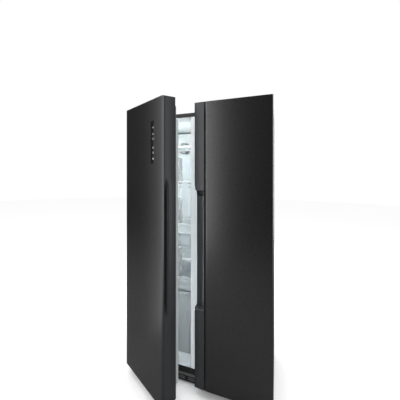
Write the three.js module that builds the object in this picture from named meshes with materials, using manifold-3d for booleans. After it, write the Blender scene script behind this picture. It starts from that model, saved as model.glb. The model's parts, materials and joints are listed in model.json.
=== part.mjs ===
// A side-by-side refrigerator: insulated cabinet, two hinged doors, shelves, drawers, racks,
// a control panel and the cooling machinery. Millimetres, +Z up, doors on the -Y side.
import * as THREE from "three";
import { mergeVertices } from "three/addons/utils/BufferGeometryUtils.js";
import Module from "manifold-3d";

const wasm = await Module();
wasm.setup();

// ---- driving dimensions -------------------------------------------------------------------
const WIDTH = 910; // cabinet and closed doors, side to side
const CABINET_TOP = 1748; // top of the steel wrapper above the floor
const CABINET_BOTTOM = 60; // underside of the steel wrapper
const CABINET_DEPTH = 555; // front flange to back panel
const SHEET = 1.2; // painted steel
const FIT = 0.3; // clearance between pieces that touch
const FLANGE_SIDE = 50; // steel face beside the compartments
const FLANGE_TOP = 26;
const FLANGE_BOTTOM = 40;
const LINER = 2; // vacuum-formed inner liner
const TOP_FOAM = 51; // cabinet top to the liner's ceiling
const LEAD_IN = 32; // depth of the slope between the flange and the ceiling
const BACK_FOAM = 53; // insulation behind the liners
const MULLION_LEFT = -31; // face of the dividing wall in the freezer
const MULLION_RIGHT = 43; // and in the fridge

const MACHINE_DEPTH = 233; // machine compartment, from the back
const MACHINE_TOP = 302;
const STEP_FOAM = 28; // insulation over and before the machine compartment

const DOOR_ABOVE = 38; // door top over the cabinet's
const DOOR_BELOW = 2; // and door bottom under the steel wrapper
const DOOR_THICK = 88;
const DOOR_GAP = 8; // cabinet to door, filled by the gasket
const LEFT_DOOR_EDGE = -5; // free edge of the freezer door when closed
const RIGHT_DOOR_EDGE = 17; // free edge of the fridge door's front
const LEFT_DOOR_AJAR = 34; // degrees
const OUTER_BEND = 12; // radius of the skin at the hinge side
const SOFT_EDGE = [18, 6]; // width and depth of the skin's curved free edge
const SIDE_TRIM = 40; // width of the freezer door's edge profile
const SIDE_TRIM_SETBACK = 9; // behind the door's front
const GRIP_STRIP = 60; // width of the fridge door's grip profile
const STRIP_SLOPE = 5; // how far its free edge falls back
const STRIP_TAIL = [11, 36]; // how far the rear of its free side stands out, and how thick that is
const TOP_CAP = 66;
const BOTTOM_CAP = 40;
const DOOR_LINER_INSET = 60; // hinge side to the door's raised inner panel
const DOOR_LINER_END = 8; // raised panel to the edge profile
const DOOR_LINER_RISE = 25; // its middle, behind the racks
const DYKE_RISE = 58; // its rim, which stands between the racks and the gasket
const DYKE_WIDTH = 22;

const HINGE_IN = 25; // hinge axis from the door's outer side
const HINGE_BACK = 32; // and behind its front
const PIN_R = 5;
const PIN_CLEAR = 0.4;
const ARM_WIDTH = 15;
const ARM_THICK = 5;
const NOTCH_WALL = 14; // door material kept before the hinge notch

const LEFT_GRIP = [540, 1338]; // low and high end of the finger groove
const LEFT_GRIP_MOUTH = [12, 44]; // behind the door's front
const LEFT_GRIP_DEPTH = 22;
const LEFT_GRIP_POINT = 70; // length of its pointed ends
const RIGHT_GRIP = [519, 1292];
const RIGHT_POCKET_TOP = 1252;
const RIGHT_GRIP_CUT = 22; // how far the recess cuts into the free edge
const RIGHT_GRIP_DEPTH = 40;
const RIGHT_GRIP_WALL = 2; // strip left between the recess and the skin

const PANEL_FROM_EDGE = 98; // control panel's middle line from the door's free edge
const PANEL_WIDTH = 51;
const PANEL_BELOW_TOP = [372, 124]; // low and high end, from the door's top
const PANEL_THICK = 3;

const GASKET_WIDTH = 16;
const LEFT_GASKET_EDGE = -9; // free side of the freezer door's gasket
const RIGHT_GASKET_EDGE = 25; // and of the fridge door's
const GASKET_HINGE_SIDE = 26; // from the door's outer side, so that it clears the flange
const GASKET_THICK = DOOR_GAP - 0.8;
const GASKET_OUTSIDE = [18, 10]; // from the wrapper's underside, and from its top

const SHELF_FRONT = 130; // front edge of shelves and drawers
const SHELF_THICK = 6;
const SHELF_BACK_GAP = 50;

// Heights inside a compartment, as parts of the way from its floor to its ceiling.
const FREEZER_SHELVES = [0.9034, 0.7507, 0.5592, 0.4086];
const FRIDGE_SHELVES = [0.8085, 0.6453, 0.4883];
const FREEZER_DRAWERS = [[0.2767, 0.3326], [0.0023, 0.2692]]; // upper, lower: low and high side
const FRIDGE_DRAWERS = [[0.2233, 0.3382], [0.0023, 0.212]];
const RACKS = [0.7564, 0.6026, 0.4173];

const SHELF_TRIM = [6, 3]; // how far the front moulding reaches before and behind the edge
const SHELF_TRIM_OVER = [5, 4]; // and below and above the glass
const DRAWER_SIDE_GAP = 4;
const DRAWER_WALL = 3;
const DRAWER_BACK_GAP = 12;
const DRAWER_RIM = 12; // front panel's top over the tub's rim
const DRAWER_FRONT = [8, 1]; // front panel before and behind the tub's front
const DRAWER_GRIP = { inset: 60, reach: 20, below: 22, thick: 8 };

const RACK_MARGIN = 3; // rim of the raised panel to the ends of a door rack
const RACK_DEPTH = 95;
const RACK_HEIGHT = 143;
const RACK_WALL = 2.5;

const FOOT_IN = 75; // feet and rollers from the cabinet's sides
const FOOT_Y = 45;
const FOOT_R = 22;
const FOOT_HEIGHT = 12;
const STEM_R = 6;
const ROLLER_R = 20;
const ROLLER_WIDTH = 24;
const ROLLER_FROM_BACK = 55;
const AXLE_R = 4;
const RAIL_WIDTH = 56;
const RAIL_SHEET = 3;
const BASE_SHEET = 4;
const BASE_BESIDE = 30; // base plate beyond the opening in the flange
const RAIL_HEIGHT = 30;
const EAR_LENGTH = 28; // lugs that carry the rollers' axles

const KICK_INSET = 60;
const KICK_FRONT = 5; // before the flange plane
const KICK_HEIGHT = [10, 44];
const KICK_SLOTS = 12;
const KICK_SLOT_ROWS = [20, 31];
const KICK_SLOT = 6;
const KICK_MARGIN = 30; // plain ends of the plate

const HINGE_PLATE = { inset: 8, width: 60, depth: [6, 72] };
const HINGE_PIN = [19, 1]; // upper pin below and above the arm's underside
const SCREW_R = 5;
const SCREW_HEIGHT = 4;
const COVER_BOX = { inset: 2, width: 90, depth: [2, 96], front: 32, shoulder: 30, back: 14 };
const COVER_SHOULDER = 40; // from the cover's front edge
const COVER_ROOM = { wall: 3, width: 66, back: 75, height: 11.5 };
const LOWER_PLATE = { inset: 8, width: 50, under: 4 };

const MACHINE_MIDDLE = 115; // middle line of the machinery, from the back
const COMPRESSOR_IN = 175; // its axis from the opening's side
const COMPRESSOR_PLATE = [94, 74]; // half length and half depth
const CONDENSER = { start: 70, fromSide: 105, rows: 6, pitch: 26, tube: 5, above: 38 };
const CONDENSER_PLATE = [32, 4]; // half depth and thickness of its end plates
const FAN = { x: -20, above: 105, r: 68, width: 26, blades: 5 };
const SHROUD = { x: [8, 12], half: 90, height: 205, mouth: 74 };
const VENTS = { pitch: 105, half: 36, rows: 5, low: 105, rowPitch: 32, height: 9, columns: 3 };
const INLET = { x: -105, z: 180, r: 12, flange: 17, bore: 5 };

const COLD_COVER = { inset: 22, depth: 44, wall: 3, top: 12, height: 823 };
const COLD_FAN = { below: 135, r: 48, width: 20, mouth: 52, behind: 24 }; // below the ceiling
const COLD_BLOCK = { inset: 12, below: [635, 255], fins: 15, slot: 12, cut: 22 };
const LOUVRES_BELOW = [455, 425, 395, 755, 725, 695]; // the ceiling
const LOUVRE = { at: 0.28, half: 0.14, height: 10 }; // parts of the cover's width
const DUCT = { half: 95, depth: 26, wall: 3, below: [995, 30], outlet: 60, outletHeight: 12 };
const OUTLETS_BELOW = [135, 435, 695, 935];

// ---- places worked out from them ----------------------------------------------------------
const SIDE = WIDTH / 2;
const DOOR_TOP = CABINET_TOP + DOOR_ABOVE;
const DOOR_BOTTOM = CABINET_BOTTOM - DOOR_BELOW;
const DOOR_REAR = -DOOR_GAP;
const DOOR_FRONT = DOOR_REAR - DOOR_THICK;
const HINGE_X = SIDE - HINGE_IN;
const HINGE_Y = DOOR_FRONT + HINGE_BACK;
const OPEN_SIDE = SIDE - FLANGE_SIDE; // half width of the opening in the flange
const OPEN_TOP = CABINET_TOP - FLANGE_TOP;
const OPEN_BOTTOM = CABINET_BOTTOM + FLANGE_BOTTOM;
const CEILING = CABINET_TOP - TOP_FOAM - LINER;
const FLOOR = OPEN_BOTTOM + FIT + LINER;
const LINER_BACK = CABINET_DEPTH - BACK_FOAM; // outer face of the liners' rear walls
const STEP_FRONT = CABINET_DEPTH - MACHINE_DEPTH - STEP_FOAM; // outer face of the liners' step
const STEP_TOP = MACHINE_TOP + STEP_FOAM;
const BASE_TOP = CABINET_BOTTOM - FIT;
const FOOT_X = SIDE - FOOT_IN;
const ROLLER_Y = CABINET_DEPTH - ROLLER_FROM_BACK;
const MACHINE_Y = CABINET_DEPTH - MACHINE_MIDDLE;
const COMPRESSOR_X = -OPEN_SIDE + COMPRESSOR_IN;
const GASKET_Z = [CABINET_BOTTOM + GASKET_OUTSIDE[0], CABINET_TOP - GASKET_OUTSIDE[1]];
const FREEZER = [-OPEN_SIDE + FIT + LINER, MULLION_LEFT - FIT - LINER]; // inner faces
const FRIDGE = [MULLION_RIGHT + FIT + LINER, OPEN_SIDE - FIT - LINER];

function roomHeight(part) {
  return FLOOR + part * (CEILING - FLOOR);
}

// ---- solids -------------------------------------------------------------------------------
function solid(geometry) {
  geometry.deleteAttribute("normal");
  geometry.deleteAttribute("uv");
  const merged = mergeVertices(geometry, 1e-4);
  const vertProperties = merged.attributes.position.array;
  const triVerts = new Uint32Array(merged.index.array);
  return new wasm.Manifold(new wasm.Mesh({ numProp: 3, vertProperties, triVerts }));
}

function box([x0, x1], [y0, y1], [z0, z1]) {
  const geometry = new THREE.BoxGeometry(x1 - x0, y1 - y0, z1 - z0);
  geometry.translate((x0 + x1) / 2, (y0 + y1) / 2, (z0 + z1) / 2);
  return solid(geometry);
}

function shapeOf(points) {
  return new THREE.Shape(points.map(([a, b]) => new THREE.Vector2(a, b)));
}

// An outline seen from above, raised from one height to another.
function raised(shape, [z0, z1], curveSegments = 8) {
  const geometry = new THREE.ExtrudeGeometry(shape, {
    depth: z1 - z0,
    bevelEnabled: false,
    curveSegments,
  });
  geometry.translate(0, 0, z0);
  return solid(geometry);
}

// An outline in the Y-Z plane, drawn out along X.
function drawnAlongX(shape, [x0, x1], curveSegments = 8) {
  const geometry = new THREE.ExtrudeGeometry(shape, {
    depth: x1 - x0,
    bevelEnabled: false,
    curveSegments,
  });
  geometry.applyMatrix4(new THREE.Matrix4().set(0, 0, 1, x0, 1, 0, 0, 0, 0, 1, 0, 0, 0, 0, 0, 1));
  return solid(geometry);
}

// An outline in the X-Z plane, drawn out along Y.
function drawnAlongY(shape, [y0, y1], curveSegments = 8) {
  const geometry = new THREE.ExtrudeGeometry(shape, {
    depth: y1 - y0,
    bevelEnabled: false,
    curveSegments,
  });
  geometry.applyMatrix4(new THREE.Matrix4().set(1, 0, 0, 0, 0, 0, -1, y1, 0, 1, 0, 0, 0, 0, 0, 1));
  return solid(geometry);
}

function cylinder(radius, length, axis, [x, y, z], sides = 24) {
  const geometry = new THREE.CylinderGeometry(radius, radius, length, sides);
  if (axis === "x") geometry.rotateZ(Math.PI / 2);
  if (axis === "z") geometry.rotateX(Math.PI / 2);
  geometry.translate(x, y, z);
  return solid(geometry);
}

function join(first, ...others) {
  return others.reduce((sum, other) => sum.add(other), first);
}

function cut(first, ...tools) {
  return tools.reduce((rest, tool) => rest.subtract(tool), first);
}

// The same solid on the other side of the cabinet.
function mirrored(shape) {
  return shape.mirror([1, 0, 0]);
}

// ---- materials ----------------------------------------------------------------------------
const finishes = {
  blackSteel: { color: 0x2b2c2e, roughness: 0.42, metalness: 0.6 },
  darkPaint: { color: 0x333436, roughness: 0.55, metalness: 0.3 },
  galvanised: { color: 0x9a9d9f, roughness: 0.5, metalness: 0.9 },
  blackPlastic: { color: 0x1f2022, roughness: 0.5, metalness: 0 },
  whitePlastic: { color: 0xe9edef, roughness: 0.45, metalness: 0 },
  foam: { color: 0xe6d9a8, roughness: 0.95, metalness: 0 },
  clear: { color: 0xd9e4e8, roughness: 0.1, metalness: 0 },
  seal: { color: 0xc3c7c8, roughness: 0.7, metalness: 0 },
  copper: { color: 0x9a5a3a, roughness: 0.35, metalness: 1 },
  aluminium: { color: 0xb9bcbf, roughness: 0.4, metalness: 1 },
  glassBlack: { color: 0x0c0d0e, roughness: 0.08, metalness: 0 },
};

function piece(name, body, finish) {
  const { vertProperties, triVerts, numProp } = body.getMesh();
  const count = vertProperties.length / numProp;
  const position = new Float32Array(count * 3);
  for (let i = 0; i < count; i++)
    for (let axis = 0; axis < 3; axis++) position[3 * i + axis] = vertProperties[numProp * i + axis];
  const geometry = new THREE.BufferGeometry();
  geometry.setAttribute("position", new THREE.BufferAttribute(position, 3));
  geometry.setIndex(new THREE.BufferAttribute(new Uint32Array(triVerts), 1));
  geometry.computeVertexNormals();
  const mesh = new THREE.Mesh(geometry, new THREE.MeshStandardMaterial(finishes[finish]));
  mesh.name = name;
  return mesh;
}

// ---- cabinet ------------------------------------------------------------------------------
function outerShell() {
  const inside = SIDE - SHEET;
  return cut(
    box([-SIDE, SIDE], [0, CABINET_DEPTH], [CABINET_BOTTOM, CABINET_TOP]),
    box([-inside, inside], [SHEET, CABINET_DEPTH + 1], [CABINET_BOTTOM - 1, CABINET_TOP - SHEET]),
    box([-OPEN_SIDE, OPEN_SIDE], [-1, SHEET + 1], [OPEN_BOTTOM, OPEN_TOP]),
  );
}

function rearPanel() {
  const inside = SIDE - SHEET - FIT;
  return box(
    [-inside, inside],
    [CABINET_DEPTH - SHEET, CABINET_DEPTH],
    [MACHINE_TOP, CABINET_TOP - SHEET - FIT],
  );
}

// Side walls and roof: an upside-down U of foam.
function foamWrap() {
  const outer = SIDE - SHEET - FIT;
  const inner = OPEN_SIDE;
  const depth = [SHEET + FIT, CABINET_DEPTH - SHEET - FIT];
  const top = CABINET_TOP - SHEET - FIT;
  const side = box([-outer, -inner], depth, [BASE_TOP + FIT, top]);
  const ceiling = CABINET_TOP - TOP_FOAM + FIT;
  const profile = shapeOf([
    [depth[0], OPEN_TOP],
    [LEAD_IN + FIT, ceiling],
    [depth[1], ceiling],
    [depth[1], top],
    [depth[0], top],
  ]);
  return join(side, mirrored(side), drawnAlongX(profile, [-inner - 1, inner + 1]));
}

// Back wall and dividing wall, with the floor insulation that steps over the machine compartment.
function foamBack() {
  const span = OPEN_SIDE - FIT;
  const low = STEP_TOP - 1;
  const high = CABINET_TOP - TOP_FOAM;
  const back = box([-span, span], [LINER_BACK + FIT, CABINET_DEPTH - SHEET - FIT], [low, high]);
  const divider = join(
    box([MULLION_LEFT, MULLION_RIGHT], [LEAD_IN, LINER_BACK + 1], [low, high]),
    box([MULLION_LEFT, MULLION_RIGHT], [LEAD_IN, STEP_FRONT + 1], [OPEN_BOTTOM - 5, low + 1]),
  );
  return join(back, divider, foamFloor());
}

function foamFloor() {
  const floor = OPEN_BOTTOM - LINER + FIT;
  const machineFront = CABINET_DEPTH - MACHINE_DEPTH;
  const profile = shapeOf([
    [SHEET + FIT, CABINET_BOTTOM],
    [machineFront, CABINET_BOTTOM],
    [machineFront, MACHINE_TOP],
    [CABINET_DEPTH - SHEET - FIT, MACHINE_TOP],
    [CABINET_DEPTH - SHEET - FIT, STEP_TOP],
    [STEP_FRONT, STEP_TOP],
    [STEP_FRONT, floor],
    [SHEET + FIT, floor],
  ]);
  return drawnAlongX(profile, [-OPEN_SIDE + FIT, OPEN_SIDE - FIT]);
}

// A compartment's liner: open at the front, stepped at the lower back, sloped at the front top.
function compartmentLiner([inner0, inner1]) {
  const floor = OPEN_BOTTOM + FIT;
  const back = LINER_BACK;
  const skin = shapeOf([
    [FIT, floor],
    [STEP_FRONT - FIT, floor],
    [STEP_FRONT - FIT, STEP_TOP + FIT],
    [back, STEP_TOP + FIT],
    [back, CEILING + LINER],
    [LEAD_IN, CEILING + LINER],
    [FIT, OPEN_TOP - FIT],
  ]);
  const hollow = shapeOf([
    [-1, floor + LINER],
    [STEP_FRONT - FIT - LINER, floor + LINER],
    [STEP_FRONT - FIT - LINER, STEP_TOP + FIT + LINER],
    [back - LINER, STEP_TOP + FIT + LINER],
    [back - LINER, CEILING],
    [LEAD_IN - 1, CEILING],
    [-1, OPEN_TOP - FIT - LINER],
  ]);
  return cut(
    drawnAlongX(skin, [inner0 - LINER, inner1 + LINER]),
    drawnAlongX(hollow, [inner0, inner1]),
  );
}

// The pale strip on the front of the dividing wall, which both gaskets close on.
function mullionCover() {
  const profile = shapeOf([
    [FIT, OPEN_BOTTOM + FIT],
    [LEAD_IN - FIT, OPEN_BOTTOM + FIT],
    [LEAD_IN - FIT, CEILING + LINER],
    [FIT, OPEN_TOP - FIT],
  ]);
  return drawnAlongX(profile, [MULLION_LEFT + FIT, MULLION_RIGHT - FIT]);
}

// ---- base ---------------------------------------------------------------------------------
// Bottom plate with two channels that hold the feet and rollers.
function baseFrame() {
  const depth = [SHEET + FIT, CABINET_DEPTH - 2];
  const plateZ = [BASE_TOP - BASE_SHEET, BASE_TOP];
  const railZ = [BASE_TOP - RAIL_HEIGHT, BASE_TOP - 1];
  const half = RAIL_WIDTH / 2;
  const rails = [-FOOT_X, FOOT_X].map((x) =>
    cut(
      box([x - half, x + half], depth, railZ),
      box(
        [x - half + RAIL_SHEET, x + half - RAIL_SHEET],
        [depth[0] - 1, depth[1] + 1],
        [railZ[0] - 1, plateZ[0] - FIT],
      ),
    ),
  );
  const earY = [ROLLER_Y - EAR_LENGTH / 2, ROLLER_Y + EAR_LENGTH / 2];
  const earZ = [ROLLER_R - AXLE_R - 5, railZ[0] + 1];
  const ears = [-FOOT_X, FOOT_X].flatMap((x) => [
    box([x - half, x - half + RAIL_SHEET], earY, earZ),
    box([x + half - RAIL_SHEET, x + half], earY, earZ),
  ]);
  const holes = [-FOOT_X, FOOT_X].flatMap((x) => [
    cylinder(AXLE_R + PIN_CLEAR, RAIL_WIDTH + 2, "x", [x, ROLLER_Y, ROLLER_R], 16),
    cylinder(STEM_R + PIN_CLEAR, RAIL_HEIGHT, "z", [x, FOOT_Y, BASE_TOP - 5], 16),
  ]);
  const plate = box([-OPEN_SIDE - BASE_BESIDE, OPEN_SIDE + BASE_BESIDE], depth, plateZ);
  return cut(join(plate, ...rails, ...ears), ...holes);
}

function levellingFoot(x) {
  return join(
    cylinder(FOOT_R, FOOT_HEIGHT, "z", [x, FOOT_Y, FOOT_HEIGHT / 2]),
    cylinder(STEM_R, BASE_TOP - 1, "z", [x, FOOT_Y, (BASE_TOP - 1) / 2], 16),
  );
}

function roller(x) {
  return join(
    cylinder(ROLLER_R, ROLLER_WIDTH, "x", [x, ROLLER_Y, ROLLER_R], 32),
    cylinder(AXLE_R, RAIL_WIDTH, "x", [x, ROLLER_Y, ROLLER_R], 16),
  );
}

function kickPlate() {
  const half = SIDE - KICK_INSET;
  const pitch = (2 * half - 2 * KICK_MARGIN) / KICK_SLOTS;
  const open = pitch * 0.36;
  let plate = box([-half, half], [-KICK_FRONT, -FIT - 1], KICK_HEIGHT);
  for (let i = 0; i < KICK_SLOTS; i++) {
    const x = -half + KICK_MARGIN + (i + 0.5) * pitch;
    for (const z of KICK_SLOT_ROWS)
      plate = cut(plate, box([x - open, x + open], [-KICK_FRONT - 1, 1], [z, z + KICK_SLOT]));
  }
  return plate;
}

// ---- hinges (left-hand ones; the right-hand ones are mirrored) -----------------------------
function upperHinge() {
  const z0 = CABINET_TOP + FIT;
  const zs = [z0, z0 + ARM_THICK];
  const { inset, width, depth } = HINGE_PLATE;
  const [below, above] = HINGE_PIN;
  const arm = box([-HINGE_X - ARM_WIDTH / 2, -HINGE_X + ARM_WIDTH / 2], [HINGE_Y, depth[0] + 9], zs);
  const nose = cylinder(ARM_WIDTH / 2, ARM_THICK, "z", [-HINGE_X, HINGE_Y, z0 + ARM_THICK / 2]);
  const plate = box([-SIDE + inset, -SIDE + inset + width], depth, zs);
  const pinZ = z0 + (above - below) / 2;
  const pin = cylinder(PIN_R, below + above, "z", [-HINGE_X, HINGE_Y, pinZ], 20);
  const screwX = -SIDE + inset + width - 3 * SCREW_R;
  const screwZ = zs[1] + SCREW_HEIGHT / 2 - 0.1;
  const screws = [depth[0] + 14, depth[1] - 14].map((y) =>
    cylinder(SCREW_R, SCREW_HEIGHT, "z", [screwX, y, screwZ], 6),
  );
  return join(arm, nose, plate, pin, ...screws);
}

function hingeCover() {
  const z0 = CABINET_TOP + FIT;
  const { inset, width, depth, front, shoulder, back } = COVER_BOX;
  const profile = shapeOf([
    [depth[0], z0],
    [depth[1], z0],
    [depth[1], z0 + back],
    [depth[0] + COVER_SHOULDER, z0 + shoulder],
    [depth[0], z0 + front],
  ]);
  const x0 = -SIDE + inset;
  const hollow = box(
    [x0 + COVER_ROOM.wall, x0 + COVER_ROOM.wall + COVER_ROOM.width],
    [depth[0] - 1, COVER_ROOM.back],
    [z0 - 1, z0 + COVER_ROOM.height],
  );
  return cut(drawnAlongX(profile, [x0, x0 + width]), hollow);
}

function lowerHinge() {
  const { inset, width, under } = LOWER_PLATE;
  const top = DOOR_BOTTOM - under;
  const zs = [top - ARM_THICK, top];
  const xs = [-SIDE + inset, -SIDE + inset + width];
  const tabFront = -KICK_FRONT - 0.5;
  const plate = box(xs, [HINGE_Y, tabFront + 4], zs);
  const noseR = HINGE_IN - inset;
  const nose = cylinder(noseR, ARM_THICK, "z", [-HINGE_X, HINGE_Y, top - ARM_THICK / 2]);
  const tab = box(xs, [tabFront, -FIT], [zs[0], GASKET_Z[0] - under]);
  const pin = cylinder(PIN_R, 26, "z", [-HINGE_X, HINGE_Y, top + 12], 20);
  return join(plate, nose, tab, pin);
}

// ---- machine compartment ------------------------------------------------------------------
function compressor() {
  const profile = [
    [0, 0],
    [62, 0],
    [72, 10],
    [76, 60],
    [76, 88],
    [82, 92],
    [82, 100],
    [76, 104],
    [70, 132],
    [48, 156],
    [20, 164],
    [0, 165],
  ].map(([r, z]) => new THREE.Vector2(r, z));
  const dome = new THREE.LatheGeometry(profile, 24);
  dome.rotateX(Math.PI / 2);
  dome.translate(COMPRESSOR_X, MACHINE_Y, BASE_TOP + 14);
  const [halfX, halfY] = COMPRESSOR_PLATE;
  const feet = [-1, 1].flatMap((a) =>
    [-1, 1].map((b) => {
      const at = [COMPRESSOR_X + a * (halfX - 16), MACHINE_Y + b * (halfY - 12), BASE_TOP + 8 + FIT];
      return cylinder(11, 16, "z", at, 12);
    }),
  );
  const plate = box(
    [COMPRESSOR_X - halfX, COMPRESSOR_X + halfX],
    [MACHINE_Y - halfY, MACHINE_Y + halfY],
    [BASE_TOP + 12, BASE_TOP + 17],
  );
  const stub = cylinder(5, 70, "z", [COMPRESSOR_X + 50, MACHINE_Y + 30, BASE_TOP + 150], 12);
  return join(solid(dome), plate, stub, ...feet);
}

// Serpentine condenser tube between two plates, on one tray with the fan's plate.
function condenser() {
  const { start, fromSide, rows, pitch, tube, above } = CONDENSER;
  const end = OPEN_SIDE - fromSide;
  const z0 = BASE_TOP + above;
  const bulge = pitch / 1.5;
  const path = new THREE.CurvePath();
  const at = (x, z) => new THREE.Vector3(x, MACHINE_Y, z);
  for (let row = 0; row < rows; row++) {
    const z = z0 + row * pitch;
    const [from, to, out] = row % 2 ? [end, start, -bulge] : [start, end, bulge];
    path.add(new THREE.LineCurve3(at(from, z), at(to, z)));
    if (row === rows - 1) continue;
    const turn = [at(to, z), at(to + out, z), at(to + out, z + pitch), at(to, z + pitch)];
    path.add(new THREE.CubicBezierCurve3(...turn));
  }
  const coil = new THREE.ExtrudeGeometry(new THREE.Shape().absarc(0, 0, tube, 0, 2 * Math.PI), {
    steps: 130,
    curveSegments: 4,
    extrudePath: path,
  });
  const [plateHalf, plateThick] = CONDENSER_PLATE;
  const plates = [start + 20, end - 24].map((x) =>
    box(
      [x, x + plateThick],
      [MACHINE_Y - plateHalf, MACHINE_Y + plateHalf],
      [BASE_TOP + FIT, z0 + rows * pitch - 4],
    ),
  );
  const tray = box(
    [SHROUD.x[0] + 1, end],
    [MACHINE_Y - 20, MACHINE_Y + 20],
    [BASE_TOP + FIT, BASE_TOP + BASE_SHEET],
  );
  return join(solid(coil), tray, ...plates, fanShroud());
}

// A fan's wheel on the X axis: a hub and slanted blades.
function fanWheel(blades, radius, width) {
  const parts = [];
  for (let i = 0; i < blades; i++) {
    const blade = new THREE.BoxGeometry(2.4, radius * 0.62, radius * 0.8);
    blade.translate(0, 0, radius * 0.58);
    blade.rotateZ(0.42);
    blade.rotateX((i * 2 * Math.PI) / blades);
    parts.push(solid(blade));
  }
  return join(cylinder(radius * 0.26, width, "x", [0, 0, 0], 20), ...parts);
}

function condenserFan() {
  const wheel = fanWheel(FAN.blades, FAN.r, FAN.width);
  return wheel.translate([FAN.x, MACHINE_Y, BASE_TOP + FAN.above]);
}

// Square plate with a round mouth and a motor bracket behind the wheel.
function fanShroud() {
  const { x, half, height, mouth } = SHROUD;
  const z = BASE_TOP + FAN.above;
  const plate = cut(
    box(x, [MACHINE_Y - half, MACHINE_Y + half], [BASE_TOP + FIT, BASE_TOP + height]),
    cylinder(mouth, 40, "x", [x[0], MACHINE_Y, z], 32),
  );
  const strut = box([x[0] + 1, x[1]], [MACHINE_Y - 6, MACHINE_Y + 6], [z - half, z + half]);
  const motor = cylinder(mouth * 0.27, 14, "x", [x[0] - 3, MACHINE_Y, z], 20);
  return join(plate, strut, motor);
}

function machineCover() {
  const ys = [CABINET_DEPTH - 3, CABINET_DEPTH];
  const { pitch, half, rows, low, rowPitch, height, columns } = VENTS;
  let plate = box([-OPEN_SIDE + 1, OPEN_SIDE - 1], ys, [CABINET_BOTTOM + 1, MACHINE_TOP - FIT]);
  for (let column = -columns; column <= columns; column++) {
    const x = column * pitch;
    if (Math.abs(x - INLET.x) < half) continue;
    for (let row = 0; row < rows; row++) {
      const z = low + row * rowPitch;
      plate = cut(plate, box([x - half, x + half], [ys[0] - 1, ys[1] + 1], [z, z + height]));
    }
  }
  return cut(plate, cylinder(INLET.r + 0.5, 10, "y", [INLET.x, ys[1] - 1, INLET.z], 20));
}

// Bushing where the mains lead would leave the cover.
function cordInlet() {
  const { x, z, r, flange, bore } = INLET;
  return cut(
    join(
      cylinder(r, 12, "y", [x, CABINET_DEPTH - 5, z], 20),
      cylinder(flange, 3, "y", [x, CABINET_DEPTH - 4.5 - FIT, z], 20),
    ),
    cylinder(bore, 30, "y", [x, CABINET_DEPTH - 6, z], 16),
  );
}

// ---- cold air -----------------------------------------------------------------------------
const COVER_X = [FREEZER[0] + COLD_COVER.inset, FREEZER[1] - COLD_COVER.inset];
const COVER_Y = [LINER_BACK - LINER - COLD_COVER.depth, LINER_BACK - LINER - FIT];
const COLD_FAN_AT = [
  (COVER_X[0] + COVER_X[1]) / 2,
  COVER_Y[0] + COLD_FAN.behind,
  CEILING - COLD_FAN.below,
];

// Hollow panel on the freezer's rear wall, with louvres and a fan mouth.
function evaporatorCover() {
  const { wall, top, height } = COLD_COVER;
  const zs = [CEILING - top - height, CEILING - top];
  const face = [COVER_Y[0], COVER_Y[0] + wall];
  const [fanX, , fanZ] = COLD_FAN_AT;
  let panel = cut(
    box(COVER_X, COVER_Y, zs),
    box(
      [COVER_X[0] + wall, COVER_X[1] - wall],
      [face[1], COVER_Y[1] + 1],
      [zs[0] + wall, zs[1] - wall],
    ),
    cylinder(COLD_FAN.mouth, 12, "y", [fanX, face[0], fanZ], 28),
  );
  const width = COVER_X[1] - COVER_X[0];
  const half = width * LOUVRE.half;
  for (const below of LOUVRES_BELOW)
    for (const x of [COVER_X[0] + width * LOUVRE.at, COVER_X[1] - width * LOUVRE.at]) {
      const z = CEILING - below;
      const slot = box([x - half, x + half], [face[0] - 1, face[1] + 1], [z, z + LOUVRE.height]);
      panel = cut(panel, slot);
    }
  const reach = COLD_FAN.mouth + 8;
  const bar = box([COVER_X[0] + 1, COVER_X[1] - 1], face, [fanZ - 4, fanZ + 4]);
  const post = box([fanX - 4, fanX + 4], face, [fanZ - reach, fanZ + reach]);
  return join(panel, bar, post);
}

// Tube-and-fin block: a comb of fins on a solid core.
function evaporator() {
  const { inset, below, fins, slot } = COLD_BLOCK;
  const xs = [COVER_X[0] + inset, COVER_X[1] - inset];
  const zs = below.map((v) => CEILING - v);
  const between = [COVER_Y[0], COVER_Y[0] + COLD_BLOCK.cut];
  let block = box(xs, [COVER_Y[0] + 10, COVER_Y[1] - 6], zs);
  for (let i = 0; i < fins; i++) {
    const x = xs[0] + ((i + 0.5) * (xs[1] - xs[0])) / fins;
    block = cut(block, box([x - slot / 2, x + slot / 2], between, [zs[0] - 1, zs[1] + 1]));
  }
  return block;
}

function evaporatorFan() {
  const wheel = fanWheel(FAN.blades, COLD_FAN.r, COLD_FAN.width).rotate([0, 0, 90]);
  return wheel.translate(COLD_FAN_AT);
}

// Slim air duct on the fridge's rear wall, with outlets on its front.
function fridgeDuct() {
  const { half, depth, wall, below, outlet, outletHeight } = DUCT;
  const centre = (FRIDGE[0] + FRIDGE[1]) / 2;
  const xs = [centre - half, centre + half];
  const ys = [LINER_BACK - LINER - depth, LINER_BACK - LINER - FIT];
  const zs = below.map((v) => CEILING - v);
  let duct = cut(
    box(xs, ys, zs),
    box([xs[0] + wall, xs[1] - wall], [ys[0] + wall, ys[1] + 1], [zs[0] + wall, zs[1] - wall]),
  );
  for (const down of OUTLETS_BELOW) {
    const z = CEILING - down;
    const mouth = [centre - outlet, centre + outlet];
    duct = cut(duct, box(mouth, [ys[0] - 1, ys[0] + wall + 1], [z, z + outletHeight]));
  }
  return duct;
}

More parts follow.
